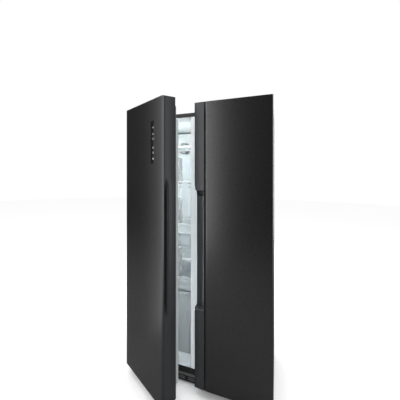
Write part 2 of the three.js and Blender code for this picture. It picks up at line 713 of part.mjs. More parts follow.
// ---- shelves and drawers ------------------------------------------------------------------
function shelf([inner0, inner1], part) {
  const z = roomHeight(part);
  const xs = [inner0 + FIT, inner1 - FIT];
  const back = LINER_BACK - LINER - SHELF_BACK_GAP;
  const plate = box(xs, [SHELF_FRONT, back], [z, z + SHELF_THICK]);
  const [before, behind] = SHELF_TRIM;
  const [under, over] = SHELF_TRIM_OVER;
  const trimZ = [z - under, z + SHELF_THICK + over];
  return join(plate, box(xs, [SHELF_FRONT - before, SHELF_FRONT + behind], trimZ));
}

// A drawer's tub, or with "wall" the room in it. One that starts below the liner's step
// reaches over it.
function tub([x0, x1], [low, high], wall) {
  const xs = [x0 + wall, x1 - wall];
  const front = SHELF_FRONT + wall;
  const stepBack = STEP_FRONT - FIT - LINER - DRAWER_BACK_GAP - wall;
  const back = LINER_BACK - LINER - DRAWER_BACK_GAP - wall;
  const overStep = Math.max(low, STEP_TOP + FIT + LINER + DRAWER_BACK_GAP) + wall;
  return join(
    box(xs, [front, stepBack], [low + wall, high]),
    box(xs, [front, back], [overStep, high]),
  );
}

function drawer([inner0, inner1], parts) {
  const [low, high] = parts.map(roomHeight);
  const xs = [inner0 + DRAWER_SIDE_GAP, inner1 - DRAWER_SIDE_GAP];
  const tubX = [xs[0] + 6, xs[1] - 6];
  const rim = high - DRAWER_RIM;
  const hollowTub = cut(tub(tubX, [low, rim], 0), tub(tubX, [low, rim + 9], DRAWER_WALL));
  const [before, behind] = DRAWER_FRONT;
  const front = box(xs, [SHELF_FRONT - before, SHELF_FRONT + behind], [low, high]);
  const { inset, reach, below, thick } = DRAWER_GRIP;
  const grip = box(
    [xs[0] + inset, xs[1] - inset],
    [SHELF_FRONT - reach, SHELF_FRONT - before + 1],
    [high - below, high - below + thick],
  );
  return join(hollowTub, front, grip);
}

// ---- doors --------------------------------------------------------------------------------
// Each door is described closed, in the cabinet's frame. "side" is -1 for the freezer door.
const GRIP_JOINT = RIGHT_DOOR_EDGE + GRIP_STRIP; // where the strip meets the skin
const RAISED_Z = [OPEN_BOTTOM + 12, CEILING - 8]; // raised inner panel of a door
const POCKET_Z = [RAISED_Z[0] + DYKE_WIDTH, RAISED_Z[1] - DYKE_WIDTH]; // room within its rim
const doors = {
  freezer: {
    side: -1,
    skinEnd: LEFT_DOOR_EDGE,
    coreEnd: LEFT_DOOR_EDGE - SIDE_TRIM,
    gasketEnd: LEFT_GASKET_EDGE,
  },
  fridge: { side: 1, skinEnd: GRIP_JOINT, coreEnd: GRIP_JOINT, gasketEnd: RIGHT_GASKET_EDGE },
};

// Plan outline of a door from its hinge side to its free edge, offset inwards by "inset".
// The hinge side is drawn on -X, and mirrored for the fridge door.
function doorPlan(freeEdge, inset, rear) {
  const left = -SIDE + inset;
  const front = DOOR_FRONT + inset;
  const bend = OUTER_BEND - inset;
  const edge = freeEdge - inset;
  const [softWidth, softDepth] = SOFT_EDGE;
  const plan = new THREE.Shape();
  plan.moveTo(left, rear);
  plan.lineTo(left, front + bend);
  plan.absarc(left + bend, front + bend, bend, Math.PI, 1.5 * Math.PI);
  plan.absellipse(edge - softWidth, front + softDepth, softWidth, softDepth, 1.5 * Math.PI, 2 * Math.PI);
  plan.lineTo(edge, rear);
  return plan;
}

function onSide(side, shape) {
  return side < 0 ? shape : mirrored(shape);
}

// The free edge as a distance from the middle on the door's own side, drawn on -X.
function drawnEdge({ side }, x) {
  return side * -x;
}

function hingeNotch() {
  return box(
    [-SIDE - 1, -SIDE + 2 * HINGE_IN - 8],
    [DOOR_FRONT + NOTCH_WALL, DOOR_REAR + 1],
    [CABINET_TOP - 1, DOOR_TOP + 1],
  );
}

// Folded steel front: the front face, a return on the hinge side and the curved free edge.
function doorSkin(door) {
  const edge = drawnEdge(door, door.skinEnd);
  const zs = [DOOR_BOTTOM, DOOR_TOP];
  const lipY = DOOR_FRONT + SOFT_EDGE[1] + 2;
  const outer = raised(doorPlan(edge, 0, DOOR_REAR - 4), zs, 3);
  const inner = raised(doorPlan(edge, SHEET, DOOR_REAR - 3), [zs[0] - 1, zs[1] + 1], 3);
  const behindLip = box([edge - SHEET - 1, edge + 1], [lipY, DOOR_REAR], [zs[0] - 1, zs[1] + 1]);
  return cut(outer, inner, behindLip, hingeNotch());
}

// What fits inside the skin, up to the edge profile.
function insideSkin(door, zs) {
  const edge = drawnEdge(door, door.skinEnd);
  const core = drawnEdge(door, door.coreEnd);
  const plan = raised(doorPlan(edge, SHEET + FIT, DOOR_REAR - LINER - FIT), zs, 3);
  return plan.intersect(box([-SIDE, core - FIT], [DOOR_FRONT, DOOR_REAR], zs));
}

function topCap(door) {
  const bore = cylinder(PIN_R + PIN_CLEAR, 30, "z", [-HINGE_X, HINGE_Y, CABINET_TOP - 12], 20);
  const body = insideSkin(door, [DOOR_TOP - TOP_CAP, DOOR_TOP - FIT]);
  return cut(body, hingeNotch(), bore);
}

function bottomCap(door) {
  const bore = cylinder(PIN_R + PIN_CLEAR, 50, "z", [-HINGE_X, HINGE_Y, DOOR_BOTTOM], 20);
  return cut(insideSkin(door, [DOOR_BOTTOM + FIT, DOOR_BOTTOM + BOTTOM_CAP]), bore);
}

// Low and high side of a door's raised inner panel.
function linerSpan(door) {
  return [-SIDE + DOOR_LINER_INSET, drawnEdge(door, door.coreEnd) - DOOR_LINER_END];
}

// The raised inner panel, a rim round a lower middle, made smaller all round by "inset".
function raisedPanel(door, inset) {
  const [x0, x1] = linerSpan(door);
  const low = DOOR_REAR - LINER - 1;
  const block = box(
    [x0 + inset, x1 - inset],
    [low, DOOR_REAR + DYKE_RISE - inset],
    [RAISED_Z[0] + inset, RAISED_Z[1] - inset],
  );
  const pocket = box(
    [x0 + DYKE_WIDTH - inset, x1 - DYKE_WIDTH + inset],
    [DOOR_REAR + DOOR_LINER_RISE - inset, DOOR_REAR + DYKE_RISE + 1],
    [POCKET_Z[0] - inset, POCKET_Z[1] + inset],
  );
  return cut(block, pocket);
}

function doorCore(door) {
  const zs = [DOOR_BOTTOM + BOTTOM_CAP + FIT, DOOR_TOP - TOP_CAP - FIT];
  return join(insideSkin(door, zs), raisedPanel(door, LINER + FIT));
}

// Inner liner of a door: a flat margin and the raised panel's skin.
function doorLiner(door) {
  const core = drawnEdge(door, door.coreEnd);
  const ys = [DOOR_REAR - LINER, DOOR_REAR];
  const zs = [DOOR_BOTTOM + BOTTOM_CAP + FIT, DOOR_TOP - TOP_CAP - FIT];
  const margin = box([-SIDE + SHEET + FIT, core - FIT], ys, zs);
  const behindMargin = box([-SIDE, SIDE], [DOOR_REAR - DOOR_THICK, ys[0]], zs);
  return cut(join(margin, raisedPanel(door, 0)), raisedPanel(door, LINER), behindMargin);
}

function gasket(door) {
  const xs = [-SIDE + GASKET_HINGE_SIDE, drawnEdge(door, door.gasketEnd)];
  const ys = [DOOR_REAR + FIT, DOOR_REAR + FIT + GASKET_THICK];
  return cut(
    box(xs, ys, GASKET_Z),
    box(
      [xs[0] + GASKET_WIDTH, xs[1] - GASKET_WIDTH],
      [ys[0] - 1, ys[1] + 1],
      [GASKET_Z[0] + GASKET_WIDTH, GASKET_Z[1] - GASKET_WIDTH],
    ),
  );
}

function rack(door, part) {
  const z = roomHeight(part);
  const back = DOOR_REAR + DOOR_LINER_RISE + FIT;
  const ys = [back, back + RACK_DEPTH];
  const [x0, x1] = linerSpan(door);
  const beside = DYKE_WIDTH + RACK_MARGIN;
  const xs = [x0 + beside, x1 - beside];
  const hollow = box(
    [xs[0] + RACK_WALL, xs[1] - RACK_WALL],
    [ys[0] + RACK_WALL, ys[1] - RACK_WALL],
    [z + RACK_WALL, z + RACK_HEIGHT + 1],
  );
  return cut(box(xs, ys, [z, z + RACK_HEIGHT]), hollow);
}

// Edge profile of the freezer door, with the long finger groove in its side.
function freezerGrip() {
  const edge = LEFT_DOOR_EDGE;
  const front = DOOR_FRONT + SIDE_TRIM_SETBACK;
  const body = box(
    [edge - SIDE_TRIM + FIT, edge],
    [front, DOOR_REAR - FIT],
    [DOOR_BOTTOM + FIT, DOOR_TOP - FIT],
  );
  const [m0, m1] = LEFT_GRIP_MOUTH.map((v) => DOOR_FRONT + v);
  const [low, high] = LEFT_GRIP;
  const middle = (m0 + m1) / 2;
  const arch = new THREE.Shape();
  arch.moveTo(m1, low + LEFT_GRIP_POINT);
  arch.lineTo(m1, high - LEFT_GRIP_POINT);
  arch.quadraticCurveTo(m1, high - LEFT_GRIP_POINT / 3, middle, high);
  arch.quadraticCurveTo(m0, high - LEFT_GRIP_POINT / 3, m0, high - LEFT_GRIP_POINT);
  arch.lineTo(m0, low + LEFT_GRIP_POINT);
  arch.quadraticCurveTo(m0, low + LEFT_GRIP_POINT / 3, middle, low);
  arch.quadraticCurveTo(m1, low + LEFT_GRIP_POINT / 3, m1, low + LEFT_GRIP_POINT);
  const groove = raised(
    shapeOf([
      [edge + 1, m0],
      [edge + 1, m1],
      [edge - LEFT_GRIP_DEPTH, m0 + 20],
      [edge - LEFT_GRIP_DEPTH, m0 + 6],
      [edge - 2, m0],
    ]),
    [low - 1, high + 1],
  );
  const pointed = drawnAlongX(arch, [edge - LEFT_GRIP_DEPTH - 1, edge + 2], 5);
  return cut(body, groove.intersect(pointed));
}

// Grip profile of the fridge door: a full-height strip with a long hollow for the hand.
function fridgeGrip() {
  const edge = RIGHT_DOOR_EDGE;
  const joint = GRIP_JOINT - FIT;
  const front = DOOR_FRONT + SOFT_EDGE[1] - 5;
  const rear = DOOR_REAR - FIT;
  const [tailOut, tailThick] = STRIP_TAIL;
  const plan = shapeOf([
    [joint, front],
    [joint, rear],
    [edge - tailOut, rear],
    [edge - tailOut, rear - tailThick],
    [edge, rear - tailThick - 6],
    [edge, front + STRIP_SLOPE + 2],
    [edge + 2, front + STRIP_SLOPE],
  ]);
  const strip = raised(plan, [DOOR_BOTTOM, DOOR_TOP]);
  return cut(strip, handHollow(front), freeEdgeCut(front));
}

// The hollow in the strip's face: a quarter round that opens towards the free edge.
function handHollow(front) {
  const far = GRIP_JOINT - FIT - RIGHT_GRIP_WALL;
  const near = RIGHT_DOOR_EDGE + RIGHT_GRIP_CUT - 7;
  const floor = front + RIGHT_GRIP_DEPTH;
  const plan = new THREE.Shape();
  plan.moveTo(-60, front - 20);
  plan.lineTo(far, front - 20);
  plan.lineTo(far, front + 4);
  plan.quadraticCurveTo(far - 2, floor, near + 14, floor);
  plan.lineTo(near, floor + 4);
  plan.lineTo(near - 9, DOOR_REAR + 2);
  plan.lineTo(-60, DOOR_REAR + 2);
  return raised(plan, [RIGHT_GRIP[0] + 14, RIGHT_POCKET_TOP], 6);
}

// The cut in the strip's free edge: long and soft at the top, short at the bottom.
function freeEdgeCut(front) {
  const edge = RIGHT_DOOR_EDGE;
  const [low, high] = RIGHT_GRIP;
  const deep = edge + RIGHT_GRIP_CUT;
  const outline = new THREE.Shape();
  outline.moveTo(-60, low);
  outline.lineTo(edge - 1, low);
  outline.quadraticCurveTo(deep - 4, low + 12, deep, low + 34);
  outline.lineTo(deep, high - 96);
  outline.bezierCurveTo(deep, high - 50, edge + 2, high - 50, edge - 1, high);
  outline.lineTo(-60, high);
  return drawnAlongY(outline, [front - 20, front + RIGHT_GRIP_DEPTH], 8);
}

// The control panel, or with "gap" the pocket that it sits in.
function panelBox(gap) {
  const x = LEFT_DOOR_EDGE - PANEL_FROM_EDGE;
  const half = PANEL_WIDTH / 2 + gap;
  const face = DOOR_FRONT - 0.2;
  const ys = [gap ? face - 5 : face, face + PANEL_THICK + gap];
  const [low, high] = PANEL_BELOW_TOP.map((v) => DOOR_TOP - v);
  return box([x - half, x + half], ys, [low - gap, high + gap]);
}

// ---- assembly -----------------------------------------------------------------------------
const cabinet = new THREE.Group();
cabinet.add(
  piece("outer_shell", outerShell(), "darkPaint"),
  piece("rear_panel", rearPanel(), "galvanised"),
  piece("foam_sides_and_roof", foamWrap(), "foam"),
  piece("foam_back_floor_divider", foamBack(), "foam"),
  piece("freezer_liner", compartmentLiner(FREEZER), "whitePlastic"),
  piece("fridge_liner", compartmentLiner(FRIDGE), "whitePlastic"),
  piece("mullion_cover", mullionCover(), "whitePlastic"),
  piece("base_frame", baseFrame(), "galvanised"),
  piece("kick_plate", kickPlate(), "blackPlastic"),
  piece("compressor", compressor(), "darkPaint"),
  piece("condenser", condenser(), "copper"),
  piece("condenser_fan", condenserFan(), "blackPlastic"),
  piece("machine_cover", machineCover(), "galvanised"),
  piece("cord_inlet", cordInlet(), "blackPlastic"),
  piece("evaporator_cover", evaporatorCover(), "whitePlastic"),
  piece("evaporator", evaporator(), "aluminium"),
  piece("evaporator_fan", evaporatorFan(), "whitePlastic"),
  piece("fridge_air_duct", fridgeDuct(), "whitePlastic"),
);

for (const [name, side] of [["left", -1], ["right", 1]]) {
  cabinet.add(
    piece("levelling_foot_" + name, levellingFoot(side * FOOT_X), "blackPlastic"),
    piece("rear_roller_" + name, roller(side * FOOT_X), "blackPlastic"),
    piece("upper_hinge_" + name, onSide(side, upperHinge()), "galvanised"),
    piece("lower_hinge_" + name, onSide(side, lowerHinge()), "galvanised"),
    piece("hinge_cover_" + name, onSide(side, hingeCover()), "blackPlastic"),
  );
}

for (const [name, room, shelves, [upper, lower]] of [
  ["freezer", FREEZER, FREEZER_SHELVES, FREEZER_DRAWERS],
  ["fridge", FRIDGE, FRIDGE_SHELVES, FRIDGE_DRAWERS],
]) {
  shelves.forEach((part, i) => {
    cabinet.add(piece(name + "_shelf_" + (i + 1), shelf(room, part), "clear"));
  });
  cabinet.add(
    piece(name + "_drawer_upper", drawer(room, upper), "clear"),
    piece(name + "_drawer_lower", drawer(room, lower), "clear"),
  );
}

function doorGroup(name, door, grip, turn) {
  const hinge = new THREE.Group();
  hinge.position.set(door.side * HINGE_X, HINGE_Y, 0);
  hinge.rotation.z = THREE.MathUtils.degToRad(turn);
  const closed = new THREE.Group();
  closed.position.set(-door.side * HINGE_X, -HINGE_Y, 0);
  const hasPanel = door.side < 0;
  const skin = hasPanel ? cut(doorSkin(door), panelBox(FIT)) : doorSkin(door);
  const core = hasPanel ? cut(doorCore(door), panelBox(FIT)) : doorCore(door);
  const parts = [
    ["skin", skin, "blackSteel"],
    ["core", core, "foam"],
    ["top_cap", topCap(door), "blackPlastic"],
    ["bottom_cap", bottomCap(door), "blackPlastic"],
    ["liner", doorLiner(door), "whitePlastic"],
    ["gasket", gasket(door), "seal"],
  ];
  RACKS.forEach((part, i) => parts.push(["rack_" + (i + 1), rack(door, part), "clear"]));
  for (const [part, body, finish] of parts)
    closed.add(piece(name + "_door_" + part, onSide(door.side, body), finish));
  closed.add(piece(name + "_door_grip", grip, "blackPlastic"));
  if (hasPanel) closed.add(piece("control_panel", panelBox(0), "glassBlack"));
  hinge.add(closed);
  return hinge;
}

// The group's origin is on the floor, in the middle of the object's footprint.
const refrigerator = new THREE.Group();
refrigerator.add(
  cabinet,
  doorGroup("freezer", doors.freezer, freezerGrip(), -LEFT_DOOR_AJAR),
  doorGroup("fridge", doors.fridge, fridgeGrip(), 0),
);
const footprint = new THREE.Box3().setFromObject(refrigerator, true);
const middle = footprint.getCenter(new THREE.Vector3());
refrigerator.position.set(-middle.x, -middle.y, -footprint.min.z);

const model = new THREE.Group();
model.add(refrigerator);

export default model;
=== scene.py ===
"""Looks of a side by side refrigerator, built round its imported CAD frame. Metres, row frame."""

import json
import math

import bmesh
import bpy
from mathutils import Matrix, Vector


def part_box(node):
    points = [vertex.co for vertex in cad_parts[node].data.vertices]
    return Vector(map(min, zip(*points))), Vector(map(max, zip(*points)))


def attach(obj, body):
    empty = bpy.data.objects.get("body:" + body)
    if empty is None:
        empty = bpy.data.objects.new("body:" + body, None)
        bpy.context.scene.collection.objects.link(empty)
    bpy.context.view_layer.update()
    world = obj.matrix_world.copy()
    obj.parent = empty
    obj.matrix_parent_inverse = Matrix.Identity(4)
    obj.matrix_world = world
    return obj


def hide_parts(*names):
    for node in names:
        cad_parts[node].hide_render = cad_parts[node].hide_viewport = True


MM = 0.001
FIT = 0.3 * MM  # the clearance between fixed pieces in the CAD

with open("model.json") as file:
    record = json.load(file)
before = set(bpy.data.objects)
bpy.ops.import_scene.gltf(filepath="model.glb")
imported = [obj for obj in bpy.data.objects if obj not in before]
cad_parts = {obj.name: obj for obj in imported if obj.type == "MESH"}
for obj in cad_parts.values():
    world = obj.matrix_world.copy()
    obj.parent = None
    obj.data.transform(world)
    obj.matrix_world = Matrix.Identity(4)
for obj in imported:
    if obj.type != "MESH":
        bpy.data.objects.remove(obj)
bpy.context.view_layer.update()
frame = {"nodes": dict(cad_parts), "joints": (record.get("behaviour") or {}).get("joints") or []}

# ---- materials ----------------------------------------------------------------------------


def look(name, colour, rough, metal=0.0, **more):
    """A Principled material with a fine pattern in its colour, roughness and relief."""
    grain = more.get("grain", (900, 900, 900))  # cells per metre
    tint, vary = more.get("tint", 0.12), more.get("vary", 0.06)
    relief, depth = more.get("relief", 0.25), more.get("depth", 0.05 * MM)
    mat = bpy.data.materials.new(name)
    mat.use_nodes = True
    tree = mat.node_tree
    shader = tree.nodes["Principled BSDF"]
    add, link = tree.nodes.new, tree.links.new

    coords = add("ShaderNodeTexCoord")
    mapping = add("ShaderNodeMapping")
    mapping.inputs["Scale"].default_value = grain
    link(coords.outputs["Object"], mapping.inputs["Vector"])
    if more.get("cells"):
        fine = add("ShaderNodeTexVoronoi")
        fine.inputs["Scale"].default_value = 1.0
        shade = add("ShaderNodeSeparateColor")
        link(fine.outputs["Color"], shade.inputs["Color"])
        pattern = shade.outputs["Red"]
    else:
        fine = add("ShaderNodeTexNoise")
        fine.inputs["Scale"].default_value = 1.0
        fine.inputs["Detail"].default_value = 3.0
        pattern = fine.outputs["Fac"]
    link(mapping.outputs["Vector"], fine.inputs["Vector"])

    broad = add("ShaderNodeTexNoise")
    broad.inputs["Scale"].default_value = more.get("broad", 5.0)
    broad.inputs["Detail"].default_value = 2.0
    link(coords.outputs["Object"], broad.inputs["Vector"])
    both = add("ShaderNodeMath")
    both.operation = "MULTIPLY_ADD"
    link(broad.outputs["Fac"], both.inputs[0])
    both.inputs[1].default_value = more.get("wide", 0.5)
    link(pattern, both.inputs[2])

    mix = add("ShaderNodeMix")
    mix.data_type = "RGBA"
    mix.inputs[6].default_value = [c * (1 - tint) for c in colour] + [1]
    mix.inputs[7].default_value = [min(1, c * (1 + tint)) for c in colour] + [1]
    link(both.outputs[0], mix.inputs[0])
    link(mix.outputs[2], shader.inputs["Base Color"])

    span = add("ShaderNodeMapRange")
    span.inputs["To Min"].default_value = max(0.02, rough - vary)
    span.inputs["To Max"].default_value = min(1.0, rough + vary)
    link(both.outputs[0], span.inputs["Value"])
    link(span.outputs["Result"], shader.inputs["Roughness"])

    bump = add("ShaderNodeBump")
    bump.inputs["Strength"].default_value = relief
    bump.inputs["Distance"].default_value = depth
    link(pattern, bump.inputs["Height"])
    link(bump.outputs["Normal"], shader.inputs["Normal"])

    shader.inputs["Metallic"].default_value = metal
    for socket, value in more.get("sockets", {}).items():
        shader.inputs[socket].default_value = value
    return mat


SEE_THROUGH = {"Alpha": 0.26, "IOR": 1.5}
LOOKS = {
    "steel": look("black_steel", (0.055, 0.055, 0.056), 0.27, 0.85, grain=(60, 60, 2600),
                  tint=0.15, vary=0.03, relief=0.08, depth=0.02 * MM, wide=0.25, broad=1.5),
    "paint": look("dark_paint", (0.04, 0.041, 0.043), 0.5, 0.2, grain=(1200,) * 3, relief=0.3),
    "zinc": look("galvanised", (0.5, 0.51, 0.52), 0.42, 0.9, grain=(110,) * 3, cells=True,
                 tint=0.1, vary=0.08, relief=0.03, wide=0.15),
    "black": look("black_plastic", (0.022, 0.023, 0.025), 0.46, grain=(1500,) * 3, relief=0.35),
    "trim": look("grip_plastic", (0.03, 0.032, 0.035), 0.4, grain=(1500,) * 3, relief=0.2,
                 depth=0.03 * MM),
    "white": look("white_plastic", (0.86, 0.88, 0.885), 0.38, grain=(300,) * 3, tint=0.03,
                  relief=0.08, sockets={"Subsurface Weight": 0.05}),
    # Mullion cover: white plastic with a constant emission, a painted glow standing in for light
    # bounced from the lit compartments; the cover is no lamp
    "painted_glow": look("mullion_plastic_painted_glow", (0.86, 0.88, 0.885), 0.38, grain=(300,) * 3, tint=0.03,
                   relief=0.08, sockets={"Emission Color": (0.86, 0.93, 0.97, 1),
                                         "Emission Strength": 0.42}),
    "foam": look("foam", (0.8, 0.7, 0.42), 0.9, grain=(350,) * 3, cells=True, tint=0.15,
                 relief=0.6, depth=0.4 * MM),
    "clear": look("clear_plastic", (0.8, 0.85, 0.87), 0.14, grain=(160,) * 3, tint=0.05,
                  relief=0.05, sockets=SEE_THROUGH),
    "frost": look("frosted_plastic", (0.84, 0.88, 0.9), 0.3, grain=(200,) * 3, tint=0.04,
                  relief=0.06, sockets={"Alpha": 0.62}),
    "glass": look("shelf_glass", (0.82, 0.88, 0.87), 0.07, grain=(40,) * 3, tint=0.04,
                  vary=0.03, relief=0.02, sockets=SEE_THROUGH),
    "seal": look("gasket_vinyl", (0.26, 0.285, 0.3), 0.6, grain=(900,) * 3, tint=0.06,
                 relief=0.2),
    "copper": look("copper_tube", (0.42, 0.2, 0.11), 0.35, 0.9, grain=(500, 40, 500),
                   relief=0.1),
    "fins": look("aluminium", (0.62, 0.63, 0.64), 0.35, 0.95, grain=(900, 900, 90), relief=0.1),
    "enamel": look("compressor_enamel", (0.018, 0.018, 0.019), 0.3, grain=(500,) * 3,
                   relief=0.3),
    "gloss": look("panel_glass", (0.006, 0.0065, 0.007), 0.2, grain=(30,) * 3, vary=0.03,
                  relief=0.02, sockets={"Specular IOR Level": 0.25}),
    "rubber": look("hard_rubber", (0.03, 0.03, 0.031), 0.7, grain=(800,) * 3, relief=0.5),
    "mark": look("panel_marks", (0.32, 0.33, 0.34), 0.5, grain=(900,) * 3, relief=0.05,
                 sockets={"Emission Color": (0.6, 0.65, 0.68, 1), "Emission Strength": 0.3}),
}
for lit_room, lens, strip in (("freezer", 130.0, 34.0), ("fridge", 18.0, 4.0)):
    for kind, power in (("_lamp", lens), ("_strip", strip)):
        LOOKS[lit_room + kind] = look(
            lit_room + kind + "_lens", (0.9, 0.93, 0.95), 0.3, grain=(250,) * 3, tint=0.03,
            sockets={"Emission Color": (0.93, 0.975, 1.0, 1), "Emission Strength": power})

# ---- mesh tools ---------------------------------------------------------------------------


def shading_group():
    """Geometry nodes that shade a mesh smooth, apart from its real edges."""
    tree = bpy.data.node_groups.new("smooth_by_angle", "GeometryNodeTree")
    tree.interface.new_socket("Geometry", in_out="INPUT", socket_type="NodeSocketGeometry")
    tree.interface.new_socket("Geometry", in_out="OUTPUT", socket_type="NodeSocketGeometry")
    first, last = tree.nodes.new("NodeGroupInput"), tree.nodes.new("NodeGroupOutput")
    plain = tree.nodes.new("GeometryNodeRemoveAttribute")
    plain.inputs["Name"].default_value = "custom_normal"
    faces, edges = (tree.nodes.new("GeometryNodeSetShadeSmooth") for _ in range(2))
    edges.domain = "EDGE"
    edges.inputs["Shade Smooth"].default_value = False
    angle = tree.nodes.new("GeometryNodeInputMeshEdgeAngle")
    sharp = tree.nodes.new("FunctionNodeCompare")
    sharp.operation = "GREATER_THAN"
    sharp.inputs["B"].default_value = math.radians(32)
    tree.links.new(angle.outputs["Unsigned Angle"], sharp.inputs["A"])
    tree.links.new(sharp.outputs["Result"], edges.inputs["Selection"])
    for a, b in ((first, plain), (plain, faces), (faces, edges), (edges, last)):
        tree.links.new(a.outputs["Geometry"], b.inputs["Geometry"])
    return tree


SMOOTH = shading_group()


def make(name, bm, body, mat, instead=(), door=None, sheet=0.0):
    """Turns a bmesh, drawn with its door shut, into a piece of the object."""
    if not sheet:
        bmesh.ops.recalc_face_normals(bm, faces=bm.faces)
    if door:
        bm.transform(door.opened)
    mesh = bpy.data.meshes.new(name)
    bm.to_mesh(mesh)
    bm.free()
    obj = bpy.data.objects.new(name, mesh)
    bpy.context.scene.collection.objects.link(obj)
    if sheet:
        solid = obj.modifiers.new("sheet", "SOLIDIFY")
        solid.thickness = sheet
        solid.offset = -1
        solid.use_even_offset = True
    obj.modifiers.new("shading", "NODES").node_group = SMOOTH
    mesh.materials.append(LOOKS[mat])
    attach(obj, body)
    if instead:
        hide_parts(*instead)


def soften(obj, bevel):
    """Narrow rounded edges, as a modifier."""
    edge = obj.modifiers.new("edges", "BEVEL")
    edge.width = bevel
    edge.segments = 3
    edge.limit_method = "ANGLE"
    edge.angle_limit = math.radians(32)
    edge.harden_normals = True


def dress(node, mat, bevel):
    """Shows a CAD node as it is, with its own finish and softened edges."""
    obj = frame["nodes"][node]
    obj.data.materials.clear()
    obj.data.materials.append(LOOKS[mat])
    weld = obj.modifiers.new("weld", "WELD")
    weld.merge_threshold = 0.01 * MM
    obj.modifiers.new("shading", "NODES").node_group = SMOOTH
    if bevel:
        soften(obj, bevel)


def loft(bm, rings, closed=True, ends=True):
    """Skins a row of rings, each with as many points as the others."""
    rows = [[bm.verts.new(p) for p in ring] for ring in rings]
    count = len(rows[0])
    for low, high in zip(rows, rows[1:]):
        for i in range(count if closed else count - 1):
            j = (i + 1) % count
            bm.faces.new((low[i], low[j], high[j], high[i]))
    if ends:
        bm.faces.new(rows[0][::-1])
        bm.faces.new(rows[-1])


def rounded(x0, x1, z0, z1, r, steps=5):
    """Points of a rectangle with round corners."""
    corners = ((x1 - r, z0 + r, -90), (x1 - r, z1 - r, 0),
               (x0 + r, z1 - r, 90), (x0 + r, z0 + r, 180))
    points = []
    for cx, cz, start in corners:
        for k in range(steps + 1):
            a = math.radians(start + 90 * k / steps)
            points.append((cx + r * math.cos(a), cz + r * math.sin(a)))
    return points


def block(bm, lo, hi, r, steps=3):
    """Adds a box with rounded edges."""
    lo, hi = Vector(lo), Vector(hi)
    made = bmesh.ops.create_cube(bm, size=1)["verts"]
    for v in made:
        v.co = Vector((lo[i] + (v.co[i] + 0.5) * (hi[i] - lo[i]) for i in range(3)))
    edges = {e for v in made for e in v.link_edges}
    bmesh.ops.bevel(bm, geom=list(edges), offset=r, segments=steps, profile=0.5, affect="EDGES",
                    clamp_overlap=True)


def lathe(bm, profile, centre, axis="Z", count=48):
    """Turns (radius, height) pairs round an axis through centre."""
    turn = {"X": Matrix.Rotation(math.pi / 2, 3, "Y"), "Y": Matrix.Rotation(-math.pi / 2, 3, "X"),
            "Z": Matrix.Identity(3)}[axis]
    steps = [2 * math.pi * i / count for i in range(count)]
    loft(bm, [[centre + turn @ Vector((r * math.cos(a), r * math.sin(a), h)) for a in steps]
              for r, h in profile])


def pipe(bm, path, r, count=12):
    """A tube along a path that stays in a plane of constant Y."""
    level = Vector((0, 1, 0))
    steps = [2 * math.pi * k / count for k in range(count)]
    rings = []
    for i, p in enumerate(path):
        along = (path[min(i + 1, len(path) - 1)] - path[max(i - 1, 0)]).normalized()
        across = along.cross(level)
        rings.append([p + r * (math.cos(a) * across + math.sin(a) * level) for a in steps])
    loft(bm, rings)


def smooth(t):
    """0 below 0, 1 above 1, and an S-shaped rise between them."""
    t = max(0.0, min(1.0, t))
    return t * t * (3 - 2 * t)


def mixed(a, b, t):
    """A value the share t of the way from a to b."""
    return a + (b - a) * t


# ---- places taken from the CAD frame ------------------------------------------------------
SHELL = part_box("outer_shell")
LEFT, FRONT, BOTTOM = SHELL[0]
RIGHT, BACK, TOP = SHELL[1]
FLANGE = {"side": 50 * MM, "top": 26 * MM, "bottom": 40 * MM}
ROOMS = {"freezer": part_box("freezer_liner"), "fridge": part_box("fridge_liner")}
LINER = 2 * MM
CEILING = TOP - 53 * MM
LEAD_IN = 32 * MM  # depth over which a compartment's ceiling comes down from its mouth
STEP_RISE = 270 * MM  # top of the step over the machine compartment, above the foam's foot
STEP_DEPTH = 261 * MM  # of that step, from the cabinet's back
GLASS_RISE = 5 * MM  # underside of a shelf's glass, above the foot of its front moulding


class Door:
    """Where a door's CAD nodes are when it is shut, and how to open a mesh to its rest place."""

    def __init__(self, name):
        joint = next(j for j in frame["joints"] if j["name"] == name + "_swing")
        hinge = Vector(joint["pos_m"])
        turn = math.radians(joint["range_deg"][0]) * joint["axis"][2]
        about = Matrix.Rotation(turn, 4, "Z")
        self.closed = Matrix.Translation(hinge) @ about @ Matrix.Translation(-hinge)
        self.opened = self.closed.inverted()
        self.name = name
        self.out = -1 if hinge.x < 0 else 1
        self.outer = self.box("skin")[0 if self.out < 0 else 1].x
        self.front = self.box("skin")[0].y
        self.rear = self.box("grip")[1].y + FIT

    def box(self, part):
        """Corners of one of the door's nodes when the door is shut."""
        name = part if part in frame["nodes"] else self.name + "_" + part
        points = [self.closed @ v.co for v in frame["nodes"][name].data.vertices]
        return (Vector([min(p[i] for p in points) for i in range(3)]),
                Vector([max(p[i] for p in points) for i in range(3)]))

    def x(self, u):
        """X of a point that is u from the hinge side."""
        return self.outer - self.out * u

    def from_side(self, x):
        """How far a point at x is from the hinge side."""
        return abs(x - self.outer)


DOORS = {"freezer": Door("freezer_door"), "fridge": Door("fridge_door")}

# ---- cabinet ------------------------------------------------------------------------------


